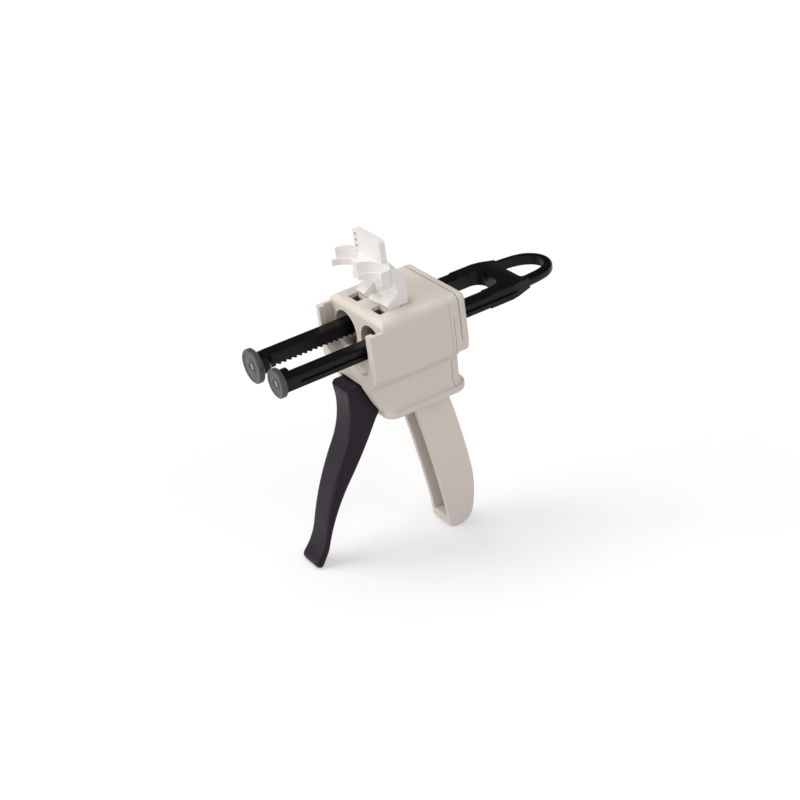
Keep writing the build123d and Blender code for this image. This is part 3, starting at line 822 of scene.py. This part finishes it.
@dataclass
class FinishBuilder:
    """Builds one material around its own shader."""

    name: str
    material: bpy.types.Material = field(init=False)
    tree: Tree = field(init=False)
    shader: Node = field(init=False)

    def __post_init__(self) -> None:
        """Create the material with its shader."""
        self.material = bpy.data.materials.new(self.name)
        self.material.use_nodes = True
        self.tree = self.material.node_tree
        self.shader = self.tree.nodes["Principled BSDF"]

    def effect(self, kind: str, values: dict[str, float]) -> Node:
        """Place a shared effect in the material.

        Args:
            kind: Which of the groups it is.
            values: Its own values, by the names of the group's inputs.

        Returns:
            The group's node.
        """
        made = self.tree.nodes.new("ShaderNodeGroup")
        made.node_tree = GROUPS[kind]
        fill(made, values)
        return made

    def blend(self, mask: Socket, below: Socket | Tone, above: Tone) -> Socket:
        """Blend from a colour to another one by a mask.

        Args:
            mask: 0 for the colour below, 1 for the one above.
            below: The colour so far, as a socket or a tone.
            above: The tone that the mask brings.

        Returns:
            The colour.
        """
        mix = self.tree.nodes.new("ShaderNodeMix")
        mix.data_type = "RGBA"
        mix.inputs["B"].default_value = linear(above)
        link(mask, mix.inputs["Factor"])
        if isinstance(below, tuple):
            mix.inputs["A"].default_value = linear(below)
        else:
            link(below, mix.inputs["A"])
        return mix.outputs["Result"]

    def vary_roughness(self, tone: Socket, low: float, high: float) -> None:
        """Let the roughness follow a tone.

        Args:
            tone: The tone, 0 to 1.
            low: Roughness where it is 0.
            high: Roughness where it is 1.
        """
        spread = self.tree.nodes.new("ShaderNodeMapRange")
        fill(spread, {"To Min": low, "To Max": high})
        link(tone, spread.inputs["Value"])
        link(spread.outputs["Result"], self.shader.inputs["Roughness"])

    def raise_surface(self, height: Socket, depth: float, strength: float,
                      under: Socket | None = None) -> Socket:
        """Add a bump, over another one if there is one.

        Args:
            height: The height, 0 to 1.
            depth: What a height of 1 is in millimetres.
            strength: How strongly it shows.
            under: The normal of the bump under it.

        Returns:
            The new normal.
        """
        bump = self.tree.nodes.new("ShaderNodeBump")
        fill(bump, {"Strength": strength, "Distance": depth * MM})
        link(height, bump.inputs["Height"])
        if under is not None:
            link(under, bump.inputs["Normal"])
        return bump.outputs["Normal"]


@dataclass(frozen=True)
class Seam:
    """A joint line round the body, in millimetres: its place along the barrels, half width and two levels."""

    place: float
    half_width: float
    bottom: float
    top: float


END_PLATE_JOINT = Seam(place=-41.0, half_width=0.4, bottom=-3.0, top=60.0)
COLLAR_JOINT = Seam(place=-37.6, half_width=0.22, bottom=-29.0, top=9.0)


@dataclass(frozen=True)
class MouldedPlastic:
    """A moulded plastic with fine grain, slow mottling, a parting line and a little dust."""

    name: str
    light: Tone
    deep: Tone
    dust: Tone = (236, 232, 226)
    roughness: float = 0.42
    roughness_spread: float = 0.10
    grain_size: float = 2600.0
    grain_depth: float = 0.02
    grain_strength: float = 0.35
    mottle_size: float = 60.0
    dust_amount: float = 0.10
    parting_depth: float = 0.0
    parting_strength: float = 0.6
    specular: float = 0.5
    ior: float = 1.49
    seams: tuple[Seam, ...] = ()
    seam_tone: Tone = (112, 100, 96)
    # Painted shade: a darker tone laid over the inside of the shell, where it lies in shadow.
    paint_inner_shade: bool = False
    inner_shade_tone: Tone = (104, 94, 76)

    @cache
    def build(self) -> bpy.types.Material:
        """Make the material, which happens once.

        Returns:
            The material.
        """
        made = FinishBuilder(self.name)
        grain = made.effect("grain", {"Grain Size": self.grain_size, "Mottle Size": self.mottle_size})
        link(self.colour(made, grain), made.shader.inputs["Base Color"])
        half = self.roughness_spread / 2
        made.vary_roughness(grain.outputs["Tone"], self.roughness - half, self.roughness + half)
        normal = made.raise_surface(grain.outputs["Height"], self.grain_depth, self.grain_strength)
        if self.parting_depth > 0:
            parting = made.effect("parting", {})
            height = parting.outputs["Height"]
            normal = made.raise_surface(height, self.parting_depth, self.parting_strength, normal)
        link(normal, made.shader.inputs["Normal"])
        fill(made.shader, {"IOR": self.ior, "Specular IOR Level": self.specular})
        return made.material

    def colour(self, made: FinishBuilder, grain: Node) -> Socket:
        """Lay dust, inner shade and joint lines over the mottled tone.

        Args:
            made: The material so far.
            grain: Its grain effect.

        Returns:
            The colour of the surface.
        """
        dust = made.effect("dust", {"Amount": self.dust_amount})
        colour = made.blend(grain.outputs["Tone"], self.deep, self.light)
        colour = made.blend(dust.outputs["Mask"], colour, self.dust)
        # Painted shade: a mask of place darkens the inside of the shell, standing in for the shadow there.
        if self.paint_inner_shade:
            inside = made.effect("inside", {})
            colour = made.blend(inside.outputs["Mask"], colour, self.inner_shade_tone)
        for seam in self.seams:
            line = made.effect("seam", {
                "Place": seam.place * MM, "Half Width": seam.half_width * MM,
                "Bottom": seam.bottom * MM, "Top": seam.top * MM,
            })
            colour = made.blend(line.outputs["Mask"], colour, self.seam_tone)
        return colour


@dataclass(frozen=True)
class Steel:
    """A bright or dull steel with drawn lines."""

    name: str
    light: Tone
    deep: Tone
    roughness: float = 0.28
    smoother: float = 0.06
    rougher: float = 0.10
    line_size: float = 900.0
    line_depth: float = 0.01
    line_strength: float = 0.3

    @cache
    def build(self) -> bpy.types.Material:
        """Make the material, which happens once.

        Returns:
            The material.
        """
        made = FinishBuilder(self.name)
        lines = made.effect("brushed", {"Line Size": self.line_size})
        tone = lines.outputs["Tone"]
        link(made.blend(tone, self.deep, self.light), made.shader.inputs["Base Color"])
        made.vary_roughness(tone, self.roughness - self.smoother, self.roughness + self.rougher)
        normal = made.raise_surface(lines.outputs["Height"], self.line_depth, self.line_strength)
        link(normal, made.shader.inputs["Normal"])
        made.shader.inputs["Metallic"].default_value = 1.0
        return made.material


@dataclass(frozen=True)
class Finishes:
    """All finishes of the dispenser."""

    # The shell's inside gets painted shade.
    ivory: MouldedPlastic = MouldedPlastic(
        "ivory_plastic", (223, 215, 206), (214, 206, 196), roughness=0.5,
        seams=(END_PLATE_JOINT, COLLAR_JOINT), paint_inner_shade=True,
    )
    cover: MouldedPlastic = MouldedPlastic(
        "ivory_cover_plastic", (222, 213, 204), (213, 204, 194), roughness=0.5, seams=(END_PLATE_JOINT,)
    )
    grip: MouldedPlastic = MouldedPlastic(
        "ivory_grip_plastic", (230, 221, 213), (221, 211, 202), roughness=0.52, parting_depth=0.12
    )
    lever: MouldedPlastic = MouldedPlastic(
        "white_lever_plastic", (240, 237, 234), (233, 230, 226), roughness=0.42
    )
    black: MouldedPlastic = MouldedPlastic(
        "black_plunger_plastic", (13, 9, 14), (6, 4, 7), dust=(84, 80, 84), roughness=0.32,
        grain_size=1800.0, grain_depth=0.03, dust_amount=0.03, specular=0.2,
    )
    # Disc tone: the disc's own dark plastic lightened by painted sheen to the grey of its lit front face,
    # laid over the whole disc.
    disc: MouldedPlastic = MouldedPlastic(
        "grey_disc_plastic_painted_sheen", (78, 73, 78), (60, 56, 61), dust=(120, 116, 118), roughness=0.4,
        grain_size=1800.0, dust_amount=0.05,
    )
    charcoal: MouldedPlastic = MouldedPlastic(
        "charcoal_trigger_plastic", (39, 29, 40), (27, 20, 29), dust=(92, 88, 92), roughness=0.42,
        grain_size=2200.0, grain_depth=0.05, dust_amount=0.03, parting_depth=0.02, specular=0.17,
    )
    release: MouldedPlastic = MouldedPlastic(
        "charcoal_release_plastic", (37, 28, 38), (26, 20, 28), dust=(92, 88, 92), roughness=0.44,
        grain_size=2200.0, grain_depth=0.05, dust_amount=0.04, specular=0.25,
    )
    # Darker pip tone: painted shade, standing in for the shadow round each pip.
    pip_painted_shade: MouldedPlastic = MouldedPlastic(
        "pip_painted_shade_plastic", (150, 143, 136), (128, 121, 115), roughness=0.6, dust_amount=0.02
    )
    screw: Steel = Steel("bright_screw_steel", (225, 225, 228), (190, 190, 196), roughness=0.24)
    cover_screw: Steel = Steel("cover_screw_steel", (200, 200, 202), (160, 160, 165), roughness=0.3)
    pawl: Steel = Steel("pawl_steel", (176, 176, 180), (140, 140, 146), roughness=0.38)
    pin: Steel = Steel("pin_steel", (205, 205, 208), (170, 170, 176), roughness=0.25)
    spring: Steel = Steel(
        "spring_wire_steel", (190, 190, 194), (150, 150, 156), roughness=0.3, line_size=1500.0
    )


# Pins and springs


@dataclass
class CrossPin:
    """A steel cross pin with bevelled, dished ends. Its shares are of the pin's radius."""

    node: str
    finishes: Finishes
    sides: int = 40
    bevel_share: float = 0.22
    dish_share: float = 0.35
    dish_depth_share: float = 0.12
    end_facing: float = 0.99

    def on_end(self, centre: Vector, normal: Vector) -> bool:
        """Tell whether a face is one of the two flat ends."""
        return abs(normal.y) > self.end_facing

    def build(self) -> None:
        """Build the pin in the place of its plain frame node."""
        low, high = (Vector(corner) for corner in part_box(self.node))
        radius = (high.x - low.x) / 2
        bpy.ops.mesh.primitive_cylinder_add(
            vertices=self.sides, radius=radius, depth=high.y - low.y, location=(low + high) / 2,
            rotation=(math.pi / 2, 0, 0),
        )
        piece = bpy.context.object
        bpy.ops.object.transform_apply(location=True, rotation=True, scale=True)
        pick_faces(piece, self.on_end)
        enter_edit(piece)
        bpy.ops.mesh.bevel(offset=radius * self.bevel_share, segments=2, affect="EDGES")
        leave_edit()
        pick_faces(piece, self.on_end)
        enter_edit(piece)
        bpy.ops.mesh.inset(thickness=radius * self.dish_share, depth=-radius * self.dish_depth_share)
        leave_edit()
        smooth(piece)
        settle(piece, turned=False)
        put_on(piece, self.node + "_turned", self.node, self.finishes.pin.build())


@dataclass
class CoilSpring:
    """A round-wire compression spring, upright or across."""

    node: str
    finishes: Finishes
    wire: float
    turns: int
    upright: bool = True
    joint: str = ""
    keep: float = 1.0
    held_at_top: bool = True
    wire_sides: int = 14
    steps_a_turn: int = 36
    crease: float = 40.0

    def build(self) -> None:
        """Build the spring inside the box of its frame node."""
        low, high = (Vector(corner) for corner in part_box(self.node))
        size, middle = high - low, (low + high) / 2
        half_wire = self.wire * MM / 2
        length = size.z if self.upright else size.y
        piece = self.wind(size.x / 2 - half_wire, length - 2 * half_wire)
        if self.upright:
            piece.location = (middle.x, middle.y, low.z + half_wire)
        else:
            piece.rotation_euler = (-math.pi / 2, 0, 0)
            piece.location = (middle.x, low.y + half_wire, middle.z)
        settle(piece, turned=False)
        smooth(piece, self.crease)
        put_on(piece, self.node + "_wound", self.node, self.finishes.spring.build())
        if self.joint:
            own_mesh(piece)

    def wind(self, radius: float, rise: float) -> Piece:
        """Wind the wire about Z from the origin up.

        Args:
            radius: Radius of the wire's middle, in metres.
            rise: Height between the middles of the two wire ends, in metres.

        Returns:
            The closed coil.
        """
        bpy.ops.mesh.primitive_circle_add(
            vertices=self.wire_sides, radius=self.wire * MM / 2, location=(radius, 0, 0),
            rotation=(math.pi / 2, 0, 0),
        )
        piece = bpy.context.object
        bpy.ops.object.transform_apply(location=True, rotation=True, scale=True)
        helix = piece.modifiers.new("helix", "SCREW")
        helix.angle = 2 * math.pi * self.turns
        helix.screw_offset = rise
        helix.steps = helix.render_steps = self.steps_a_turn * self.turns
        helix.use_smooth_shade = True
        apply_modifiers(piece)
        enter_edit(piece)
        bpy.ops.mesh.select_mode(type="EDGE")
        bpy.ops.mesh.select_all(action="DESELECT")
        bpy.ops.mesh.select_non_manifold()
        bpy.ops.mesh.fill_holes(sides=0)
        bpy.ops.mesh.select_all(action="SELECT")
        bpy.ops.mesh.normals_make_consistent(inside=False)
        leave_edit()
        return piece


# Sub-assemblies


@dataclass
class HousingShell:
    """The main moulding and the end plate behind it with its two screws."""

    finishes: Finishes
    rounding: float = 0.35
    wing_front: float = 7.8
    wing_round: float = 1.1
    wing_segments: int = 5
    wing_reach: float = 0.6
    wing_side: float = 23.0
    upright_least: float = 2.0
    upright_lean: float = 0.5
    cover_face: float = -45.6
    screw_spread: float = 5.2
    screw_level: float = 7.6
    screw_sides: int = 40
    head_sink: float = 0.1
    head_radius: float = 2.5
    head_height: float = 1.8
    head_bevel: float = 0.35
    shank_radius: float = 1.3
    neck: float = 1.2
    thread_pitch: float = 1.0
    thread_depth: float = 0.3
    screw_tip: float = -29.7
    tip_radius: float = 0.4
    tip_length: float = 2.0
    cross_length: float = 2.6
    cross_width: float = 0.6
    cross_depth: float = 0.9

    def build(self) -> None:
        """Build the shell, the cover and the two cover screws."""
        shell = welded_copy("housing")
        pick_edges(shell, self.on_wing_front)
        round_picked(shell, self.wing_round, self.wing_segments)
        refine(shell, self.rounding)
        put_on(shell, "housing_shell", "housing", self.finishes.ivory.build())
        cover = refined_copy("rear_cover", self.rounding)
        put_on(cover, "rear_end_plate", "rear_cover", self.finishes.cover.build())
        near = self.screw()
        far = copied(near, (0, -2 * self.screw_spread, 0))
        for piece, node in ((near, "cover_screw_near"), (far, "cover_screw_far")):
            smooth(piece)
            settle(piece)
            put_on(piece, node + "_threaded", node, self.finishes.cover_screw.build())

    def on_wing_front(self, low: Vector, high: Vector) -> bool:
        """Tell whether an edge is the upright outer front edge of a wing.

        Args:
            low: One end of the edge, in the tool's own millimetres.
            high: Its other end.

        Returns:
            True if it is.
        """
        upright = abs(low.z - high.z) > self.upright_least and abs(low.x - high.x) < self.upright_lean
        in_front = min(low.x, high.x) > self.wing_front - self.wing_reach
        return upright and in_front and min(abs(low.y), abs(high.y)) > self.wing_side

    def screw(self) -> Piece:
        """Build the near cross-recessed cover screw with its cut thread.

        Returns:
            The screw, in the tool's own axes.
        """
        back = self.cover_face + self.head_sink
        under = back + self.head_height
        stations = [
            (back, self.head_radius - self.head_bevel), (back + self.head_bevel, self.head_radius),
            (under, self.head_radius), (under, self.shank_radius), (under + self.neck, self.shank_radius),
        ]
        stations += threaded(
            under + self.neck, self.screw_tip - self.tip_length, self.shank_radius, self.thread_pitch,
            self.thread_depth,
        )
        stations.append((self.screw_tip, self.tip_radius))
        piece = turned_bar(stations, self.screw_spread, self.screw_level, self.screw_sides)
        mouth = (back, self.screw_spread, self.screw_level)
        cut_slot(piece, (2 * self.cross_depth, self.cross_length, self.cross_width), mouth)
        cut_slot(piece, (2 * self.cross_depth, self.cross_width, self.cross_length), mouth)
        return piece


@dataclass
class LockLever:
    """The white lever that turns down over the cartridge, its pips and its pin."""

    finishes: Finishes
    rounding: float = 0.3
    tab_front: float = -11.0
    tab_top: float = 48.0
    tab_half: float = 11.5
    pip_radius: float = 0.66
    pip_inset: float = 2.3
    pip_spacing: float = 3.0
    pip_count: int = 4
    pip_sides: int = 24
    pip_crease: float = 50.0
    pip_profile: tuple[Station, ...] = ((-0.3, 1.0), (0.1, 1.0), (0.32, 0.86), (0.46, 0.5))

    def build(self) -> None:
        """Build the lever and its cross pin."""
        lever = refined_copy("lock_lever", self.rounding)
        put_on(lever, "lock_lever_moulding", "lock_lever", self.finishes.lever.build())
        self.pips()
        CrossPin("lock_lever_pin", self.finishes).build()

    def pips(self) -> None:
        """Build the column of small domed pips near the far edge of the tab, in a darker tone that paints the
        shade round each pip.

        The profile gives heights over the tab in millimetres and shares of the pip's radius.
        """
        stations = [(self.tab_front + height, self.pip_radius * share) for height, share in self.pip_profile]
        edge, level = self.pip_inset - self.tab_half, self.tab_top - self.pip_inset
        first = turned_bar(stations, edge, level, self.pip_sides)
        others = [copied(first, (0, 0, -count * self.pip_spacing)) for count in range(1, self.pip_count)]
        piece = join_all(first, *others)
        smooth(piece, self.pip_crease)
        settle(piece)
        add_to(piece, "lock_lever_pips", "lock", self.finishes.pip_painted_shade.build())


@dataclass
class Plunger:
    """The black plunger with its two pusher discs and their screws."""

    finishes: Finishes
    rounding: float = 0.3
    disc_front: float = 51.5
    disc_thickness: float = 3.0
    disc_sides: int = 96
    disc_crease: float = 40.0
    large_radius: float = 8.5
    small_radius: float = 7.15
    rim_bevel: float = 0.5
    rim_width: float = 0.7
    ring_slope: float = 0.4
    face_step: float = 0.25
    boss_share: float = 0.42
    boss_slope: float = 0.35
    seat_radius: float = 1.75
    seat_bevel: float = 0.25
    screw_sides: int = 40
    head_radius: float = 1.7
    head_sink: float = 0.2
    head_height: float = 1.2
    dome_start: float = 0.5
    dome_middle: float = 0.15
    dome_shares: tuple[float, float] = (0.8, 0.35)
    shank_radius: float = 0.8
    thread_pitch: float = 0.6
    thread_depth: float = 0.18
    thread_end: float = 0.8
    screw_length: float = 6.5
    tip_radius: float = 0.3
    tip_length: float = 0.5
    socket_radius: float = 0.8
    socket_depth: float = 0.6
    hole_front: float = -87.2
    hole_end: float = -104.4
    hole_half: float = 10.8
    hole_power: float = 2.6
    hole_margin: float = 1.0
    end_margin: float = 0.02
    hole_stretch: float = 1.16

    def build(self) -> None:
        """Build the plunger moulding, the discs and the screws."""
        bar = welded_copy("plunger")
        self.widen_loop_hole(bar)
        refine(bar, self.rounding)
        put_on(bar, "plunger_moulding", "plunger", self.finishes.black.build())
        for side, size, radius in (
            (Side.LARGE, "large", self.large_radius), (Side.SMALL, "small", self.small_radius)
        ):
            for piece, node, ending, slot, finish in (
                (self.disc(side, radius), "plunger_disc_" + size, "_ringed", Slot.DISC, self.finishes.disc),
                (self.screw(side), "disc_screw_" + size, "_socketed", Slot.SCREW, self.finishes.screw),
            ):
                settle(piece)
                put_on(piece, node + ending, node, finish.build())

    def in_loop_hole(self, point: Vector) -> bool:
        """Tell whether a point lies on the wall of the finger hole.

        Args:
            point: The point in the tool's own millimetres.

        Returns:
            True if it does.
        """
        along = (point.x - self.hole_front) / (self.hole_end - self.hole_front)
        if not -self.end_margin < along < 1 + self.end_margin:
            return False
        across = self.hole_half * math.sqrt(max(0.0, 1.0 - max(along, 0.0) ** self.hole_power))
        return abs(point.y) < across + self.hole_margin

    def widen_loop_hole(self, bar: Piece) -> None:
        """Stretch the finger hole lengthwise, which leaves the slim wall of the real loop.

        Args:
            bar: The plunger moulding.
        """
        unpick(bar)
        for vertex in bar.data.vertices:
            vertex.select = self.in_loop_hole(in_tool(vertex.co))
        enter_edit(bar, "VERT")
        middle = (self.hole_front + self.hole_end) / 2
        bpy.ops.transform.resize(
            value=(self.hole_stretch, 1, 1), center_override=tool_point(middle, 0, 0), orient_type="GLOBAL"
        )
        leave_edit()

    def disc(self, side: Side, radius: float) -> Piece:
        """Build a pusher disc with a bevelled rim, a sunk ring and a seat for its screw.

        Args:
            side: Which barrel it belongs to.
            radius: Its radius in millimetres.

        Returns:
            The disc, in the tool's own axes.
        """
        front = self.disc_front
        back = front - self.disc_thickness
        ring = front - self.face_step
        seat = front - self.head_sink - self.head_height
        face = radius - self.rim_bevel
        boss = radius * self.boss_share
        stations = [
            (back, face), (back + self.rim_bevel, radius), (front - self.rim_bevel, radius), (front, face),
            (front, face - self.rim_width), (ring, face - self.ring_slope - self.rim_width),
            (ring, boss), (front, boss - self.boss_slope), (front, self.seat_radius + self.seat_bevel),
            (front - self.seat_bevel, self.seat_radius), (seat, self.seat_radius),
        ]
        piece = turned_bar(stations, side.value * LANE, 0.0, self.disc_sides)
        smooth(piece, self.disc_crease)
        return piece

    def screw(self, side: Side) -> Piece:
        """Build the bright socket screw of a disc.

        Args:
            side: Which barrel it belongs to.

        Returns:
            The screw, in the tool's own axes.
        """
        front = self.disc_front - self.head_sink
        under = front - self.head_height
        tip = self.disc_front - self.screw_length
        neck = tip + self.tip_length
        middle_share, top_share = self.dome_shares
        stations = [(tip, self.tip_radius), (neck, self.shank_radius)]
        stations += threaded(
            neck, under - self.thread_end, self.shank_radius, self.thread_pitch, self.thread_depth
        )
        stations += [
            (under, self.shank_radius), (under, self.head_radius),
            (front - self.dome_start, self.head_radius),
            (front - self.dome_middle, self.head_radius * middle_share),
            (front, self.head_radius * top_share),
        ]
        y = side.value * LANE
        piece = turned_bar(stations, y, 0.0, self.screw_sides)
        cut_socket(piece, self.socket_radius, self.socket_depth, (front, y, 0.0))
        smooth(piece)
        return piece


@dataclass
class TriggerDrive:
    """The squeeze trigger with its pawl, pins and springs."""

    finishes: Finishes
    rounding: float = 0.35
    ledge: float = -25.4
    blade_grain: float = 0.42
    blade_fade: float = 3.0
    blade_passes: int = 40
    blade_crease: float = 50.0
    pawl_rounding: float = 0.2
    return_wire: float = 0.8
    return_turns: int = 4
    return_keep: float = 0.6
    pawl_wire: float = 0.5
    pawl_turns: int = 2

    def build(self) -> None:
        """Build the trigger, the drive pawl, their pins and the two springs on them."""
        head = welded_copy("trigger")
        keep_half(head, self.ledge, above=True)
        refine(head, self.rounding)
        blade = softened_copy("trigger", self.blade_grain, self.ledge, self.blade_fade, self.blade_passes)
        keep_half(blade, self.ledge, above=False)
        smooth(blade, self.blade_crease)
        trigger = join_all(head, blade)
        put_on(trigger, "trigger_moulding", "trigger", self.finishes.charcoal.build())
        pawl = refined_copy("drive_pawl", self.pawl_rounding)
        put_on(pawl, "drive_pawl_forged", "drive_pawl", self.finishes.pawl.build())
        CrossPin("trigger_pin", self.finishes).build()
        CrossPin("drive_pawl_pin", self.finishes).build()
        CoilSpring(
            "trigger_return_spring", self.finishes, self.return_wire, self.return_turns,
            joint="trigger_squeeze", keep=self.return_keep,
        ).build()
        CoilSpring(
            "drive_pawl_spring", self.finishes, self.pawl_wire, self.pawl_turns, upright=False
        ).build()


@dataclass
class ReleaseCatch:
    """The rocking hold pawl with its paddle, its pin and its spring."""

    finishes: Finishes
    rounding: float = 0.3
    spring_wire: float = 0.6
    spring_turns: int = 3
    spring_keep: float = 0.9

    def build(self) -> None:
        """Build the release lever, its pin and its spring."""
        lever = refined_copy("release_lever", self.rounding)
        put_on(lever, "release_lever_moulding", "release_lever", self.finishes.release.build())
        CrossPin("release_lever_pin", self.finishes).build()
        CoilSpring(
            "release_spring", self.finishes, self.spring_wire, self.spring_turns,
            joint="release_lever_pivot", keep=self.spring_keep, held_at_top=False,
        ).build()


@dataclass
class Handle:
    """The fixed grip behind the trigger."""

    finishes: Finishes
    rounding: float = 0.4

    def build(self) -> None:
        """Build the grip."""
        grip = refined_copy("grip", self.rounding)
        put_on(grip, "grip_channel", "grip", self.finishes.grip.build())


# Studio


@dataclass(frozen=True)
class Lamp:
    """A far soft lamp: the way to it, its strength, how many degrees wide it looks, and its tint."""

    name: str
    toward: Triple
    power: float
    width: float
    tint: Triple


@dataclass
class Studio:
    """A pale floor, soft lamps and the camera of the photograph's view."""

    floor_level: float
    floor_size: float = 60.0
    floor_tone: tuple[float, float, float, float] = (0.62, 0.62, 0.625, 1.0)
    floor_roughness: float = 0.9
    floor_specular: float = 0.1
    floor_lift: float = 0.41
    surround: float = 0.35
    ceiling: float = 0.02
    sweep_end: float = 0.06
    ceiling_start: float = 0.32
    lamps: tuple[Lamp, ...] = (
        Lamp("front_window", (0.95, -0.22, 0.24), 1.7, 50.0, (1.0, 0.99, 0.97)),
        Lamp("overhead", (0.3, -0.26, 1.0), 1.2, 34.0, (1.0, 0.985, 0.95)),
        Lamp("side_fill", (0.05, 1.0, 0.55), 0.95, 80.0, (0.98, 0.955, 1.0)),
    )
    camera_place: Triple = (0.3922, 0.6451, 0.3198)
    camera_aim: Triple = (-0.490, -0.762, -0.423)
    lens: float = 79.6
    sensor: float = 36.0
    far_clip: float = 50.0

    def build(self) -> None:
        """Build floor, world, lamps and camera."""
        self.floor()
        self.world()
        for lamp in self.lamps:
            self.hang(lamp)
        self.camera()

    def floor(self) -> None:
        """Build the pale floor, which looks white but keeps the shadow."""
        bpy.ops.mesh.primitive_plane_add(size=self.floor_size, location=(0, 0, self.floor_level))
        floor = bpy.context.object
        floor.name = "studio_floor"
        made = FinishBuilder("studio_paper")
        fill(made.shader, {
            "Base Color": self.floor_tone, "Roughness": self.floor_roughness,
            "Specular IOR Level": self.floor_specular, "Emission Color": (1, 1, 1, 1),
        })
        lift = made.tree.nodes.new("ShaderNodeMath")
        lift.operation = "MULTIPLY"
        lift.inputs[1].default_value = self.floor_lift
        link(self.seen_rays(made.tree), lift.inputs[0])
        link(lift.outputs[0], made.shader.inputs["Emission Strength"])
        floor.data.materials.append(made.material)

    def seen_rays(self, tree: Tree) -> Socket:
        """Give 1 for rays that show the backdrop itself, in the view, in gloss and through glass.

        Args:
            tree: The node tree to work in.

        Returns:
            The socket with the 0 or 1.
        """
        path = tree.nodes.new("ShaderNodeLightPath")
        last = path.outputs["Is Camera Ray"]
        for name in ("Is Glossy Ray", "Is Transmission Ray"):
            larger = tree.nodes.new("ShaderNodeMath")
            larger.operation = "MAXIMUM"
            link(last, larger.inputs[0])
            link(path.outputs[name], larger.inputs[1])
            last = larger.outputs[0]
        return last

    def world(self) -> None:
        """Build the surround: a white sweep up to the horizon, with a dim ceiling above it."""
        world = bpy.data.worlds.new("studio_world")
        bpy.context.scene.world = world
        world.use_nodes = True
        tree = world.node_tree
        background = tree.nodes["Background"]
        background.inputs["Color"].default_value = (1, 1, 1, 1)
        place = tree.nodes.new("ShaderNodeTexCoord")
        split = tree.nodes.new("ShaderNodeSeparateXYZ")
        link(place.outputs["Generated"], split.inputs[0])
        height = tree.nodes.new("ShaderNodeMapRange")
        height.interpolation_type = "SMOOTHSTEP"
        fill(height, {
            "From Min": self.sweep_end, "From Max": self.ceiling_start, "To Min": 1.0, "To Max": self.ceiling,
        })
        link(split.outputs["Z"], height.inputs["Value"])
        level = tree.nodes.new("ShaderNodeMix")
        level.data_type = "FLOAT"
        level.inputs["A"].default_value = self.surround
        link(self.seen_rays(tree), level.inputs["Factor"])
        link(height.outputs["Result"], level.inputs["B"])
        link(level.outputs["Result"], background.inputs["Strength"])

    def hang(self, lamp: Lamp) -> None:
        """Add a lamp, which lights the whole floor evenly.

        Args:
            lamp: The lamp.
        """
        data = bpy.data.lights.new(lamp.name, "SUN")
        data.energy = lamp.power
        data.color = lamp.tint
        data.angle = math.radians(lamp.width)
        made = bpy.data.objects.new(lamp.name, data)
        bpy.context.scene.collection.objects.link(made)
        made.location = lamp.toward
        made.rotation_euler = Vector(lamp.toward).to_track_quat("Z", "Y").to_euler()

    def camera(self) -> None:
        """Add the camera at the photograph's viewing angle."""
        data = bpy.data.cameras.new("view")
        data.lens = self.lens
        data.sensor_width = self.sensor
        data.clip_end = self.far_clip
        camera = bpy.data.objects.new("view", data)
        bpy.context.scene.collection.objects.link(camera)
        camera.location = self.camera_place
        camera.rotation_euler = Vector(self.camera_aim).to_track_quat("-Z", "Y").to_euler()
        bpy.context.scene.camera = camera


def main() -> None:
    """Build the sub-assemblies in order, then the studio, with each piece's face count logged."""
    logging.basicConfig(level=logging.INFO, format="%(message)s")
    finishes = Finishes()
    for assembly in (HousingShell, LockLever, Plunger, TriggerDrive, ReleaseCatch, Handle):
        assembly(finishes).build()
    Studio(floor_level=cad_box[0][2]).build()
    bpy.context.scene.view_settings.view_transform = "Standard"
    bpy.context.view_layer.update()


if __name__ == "__main__":
    main()
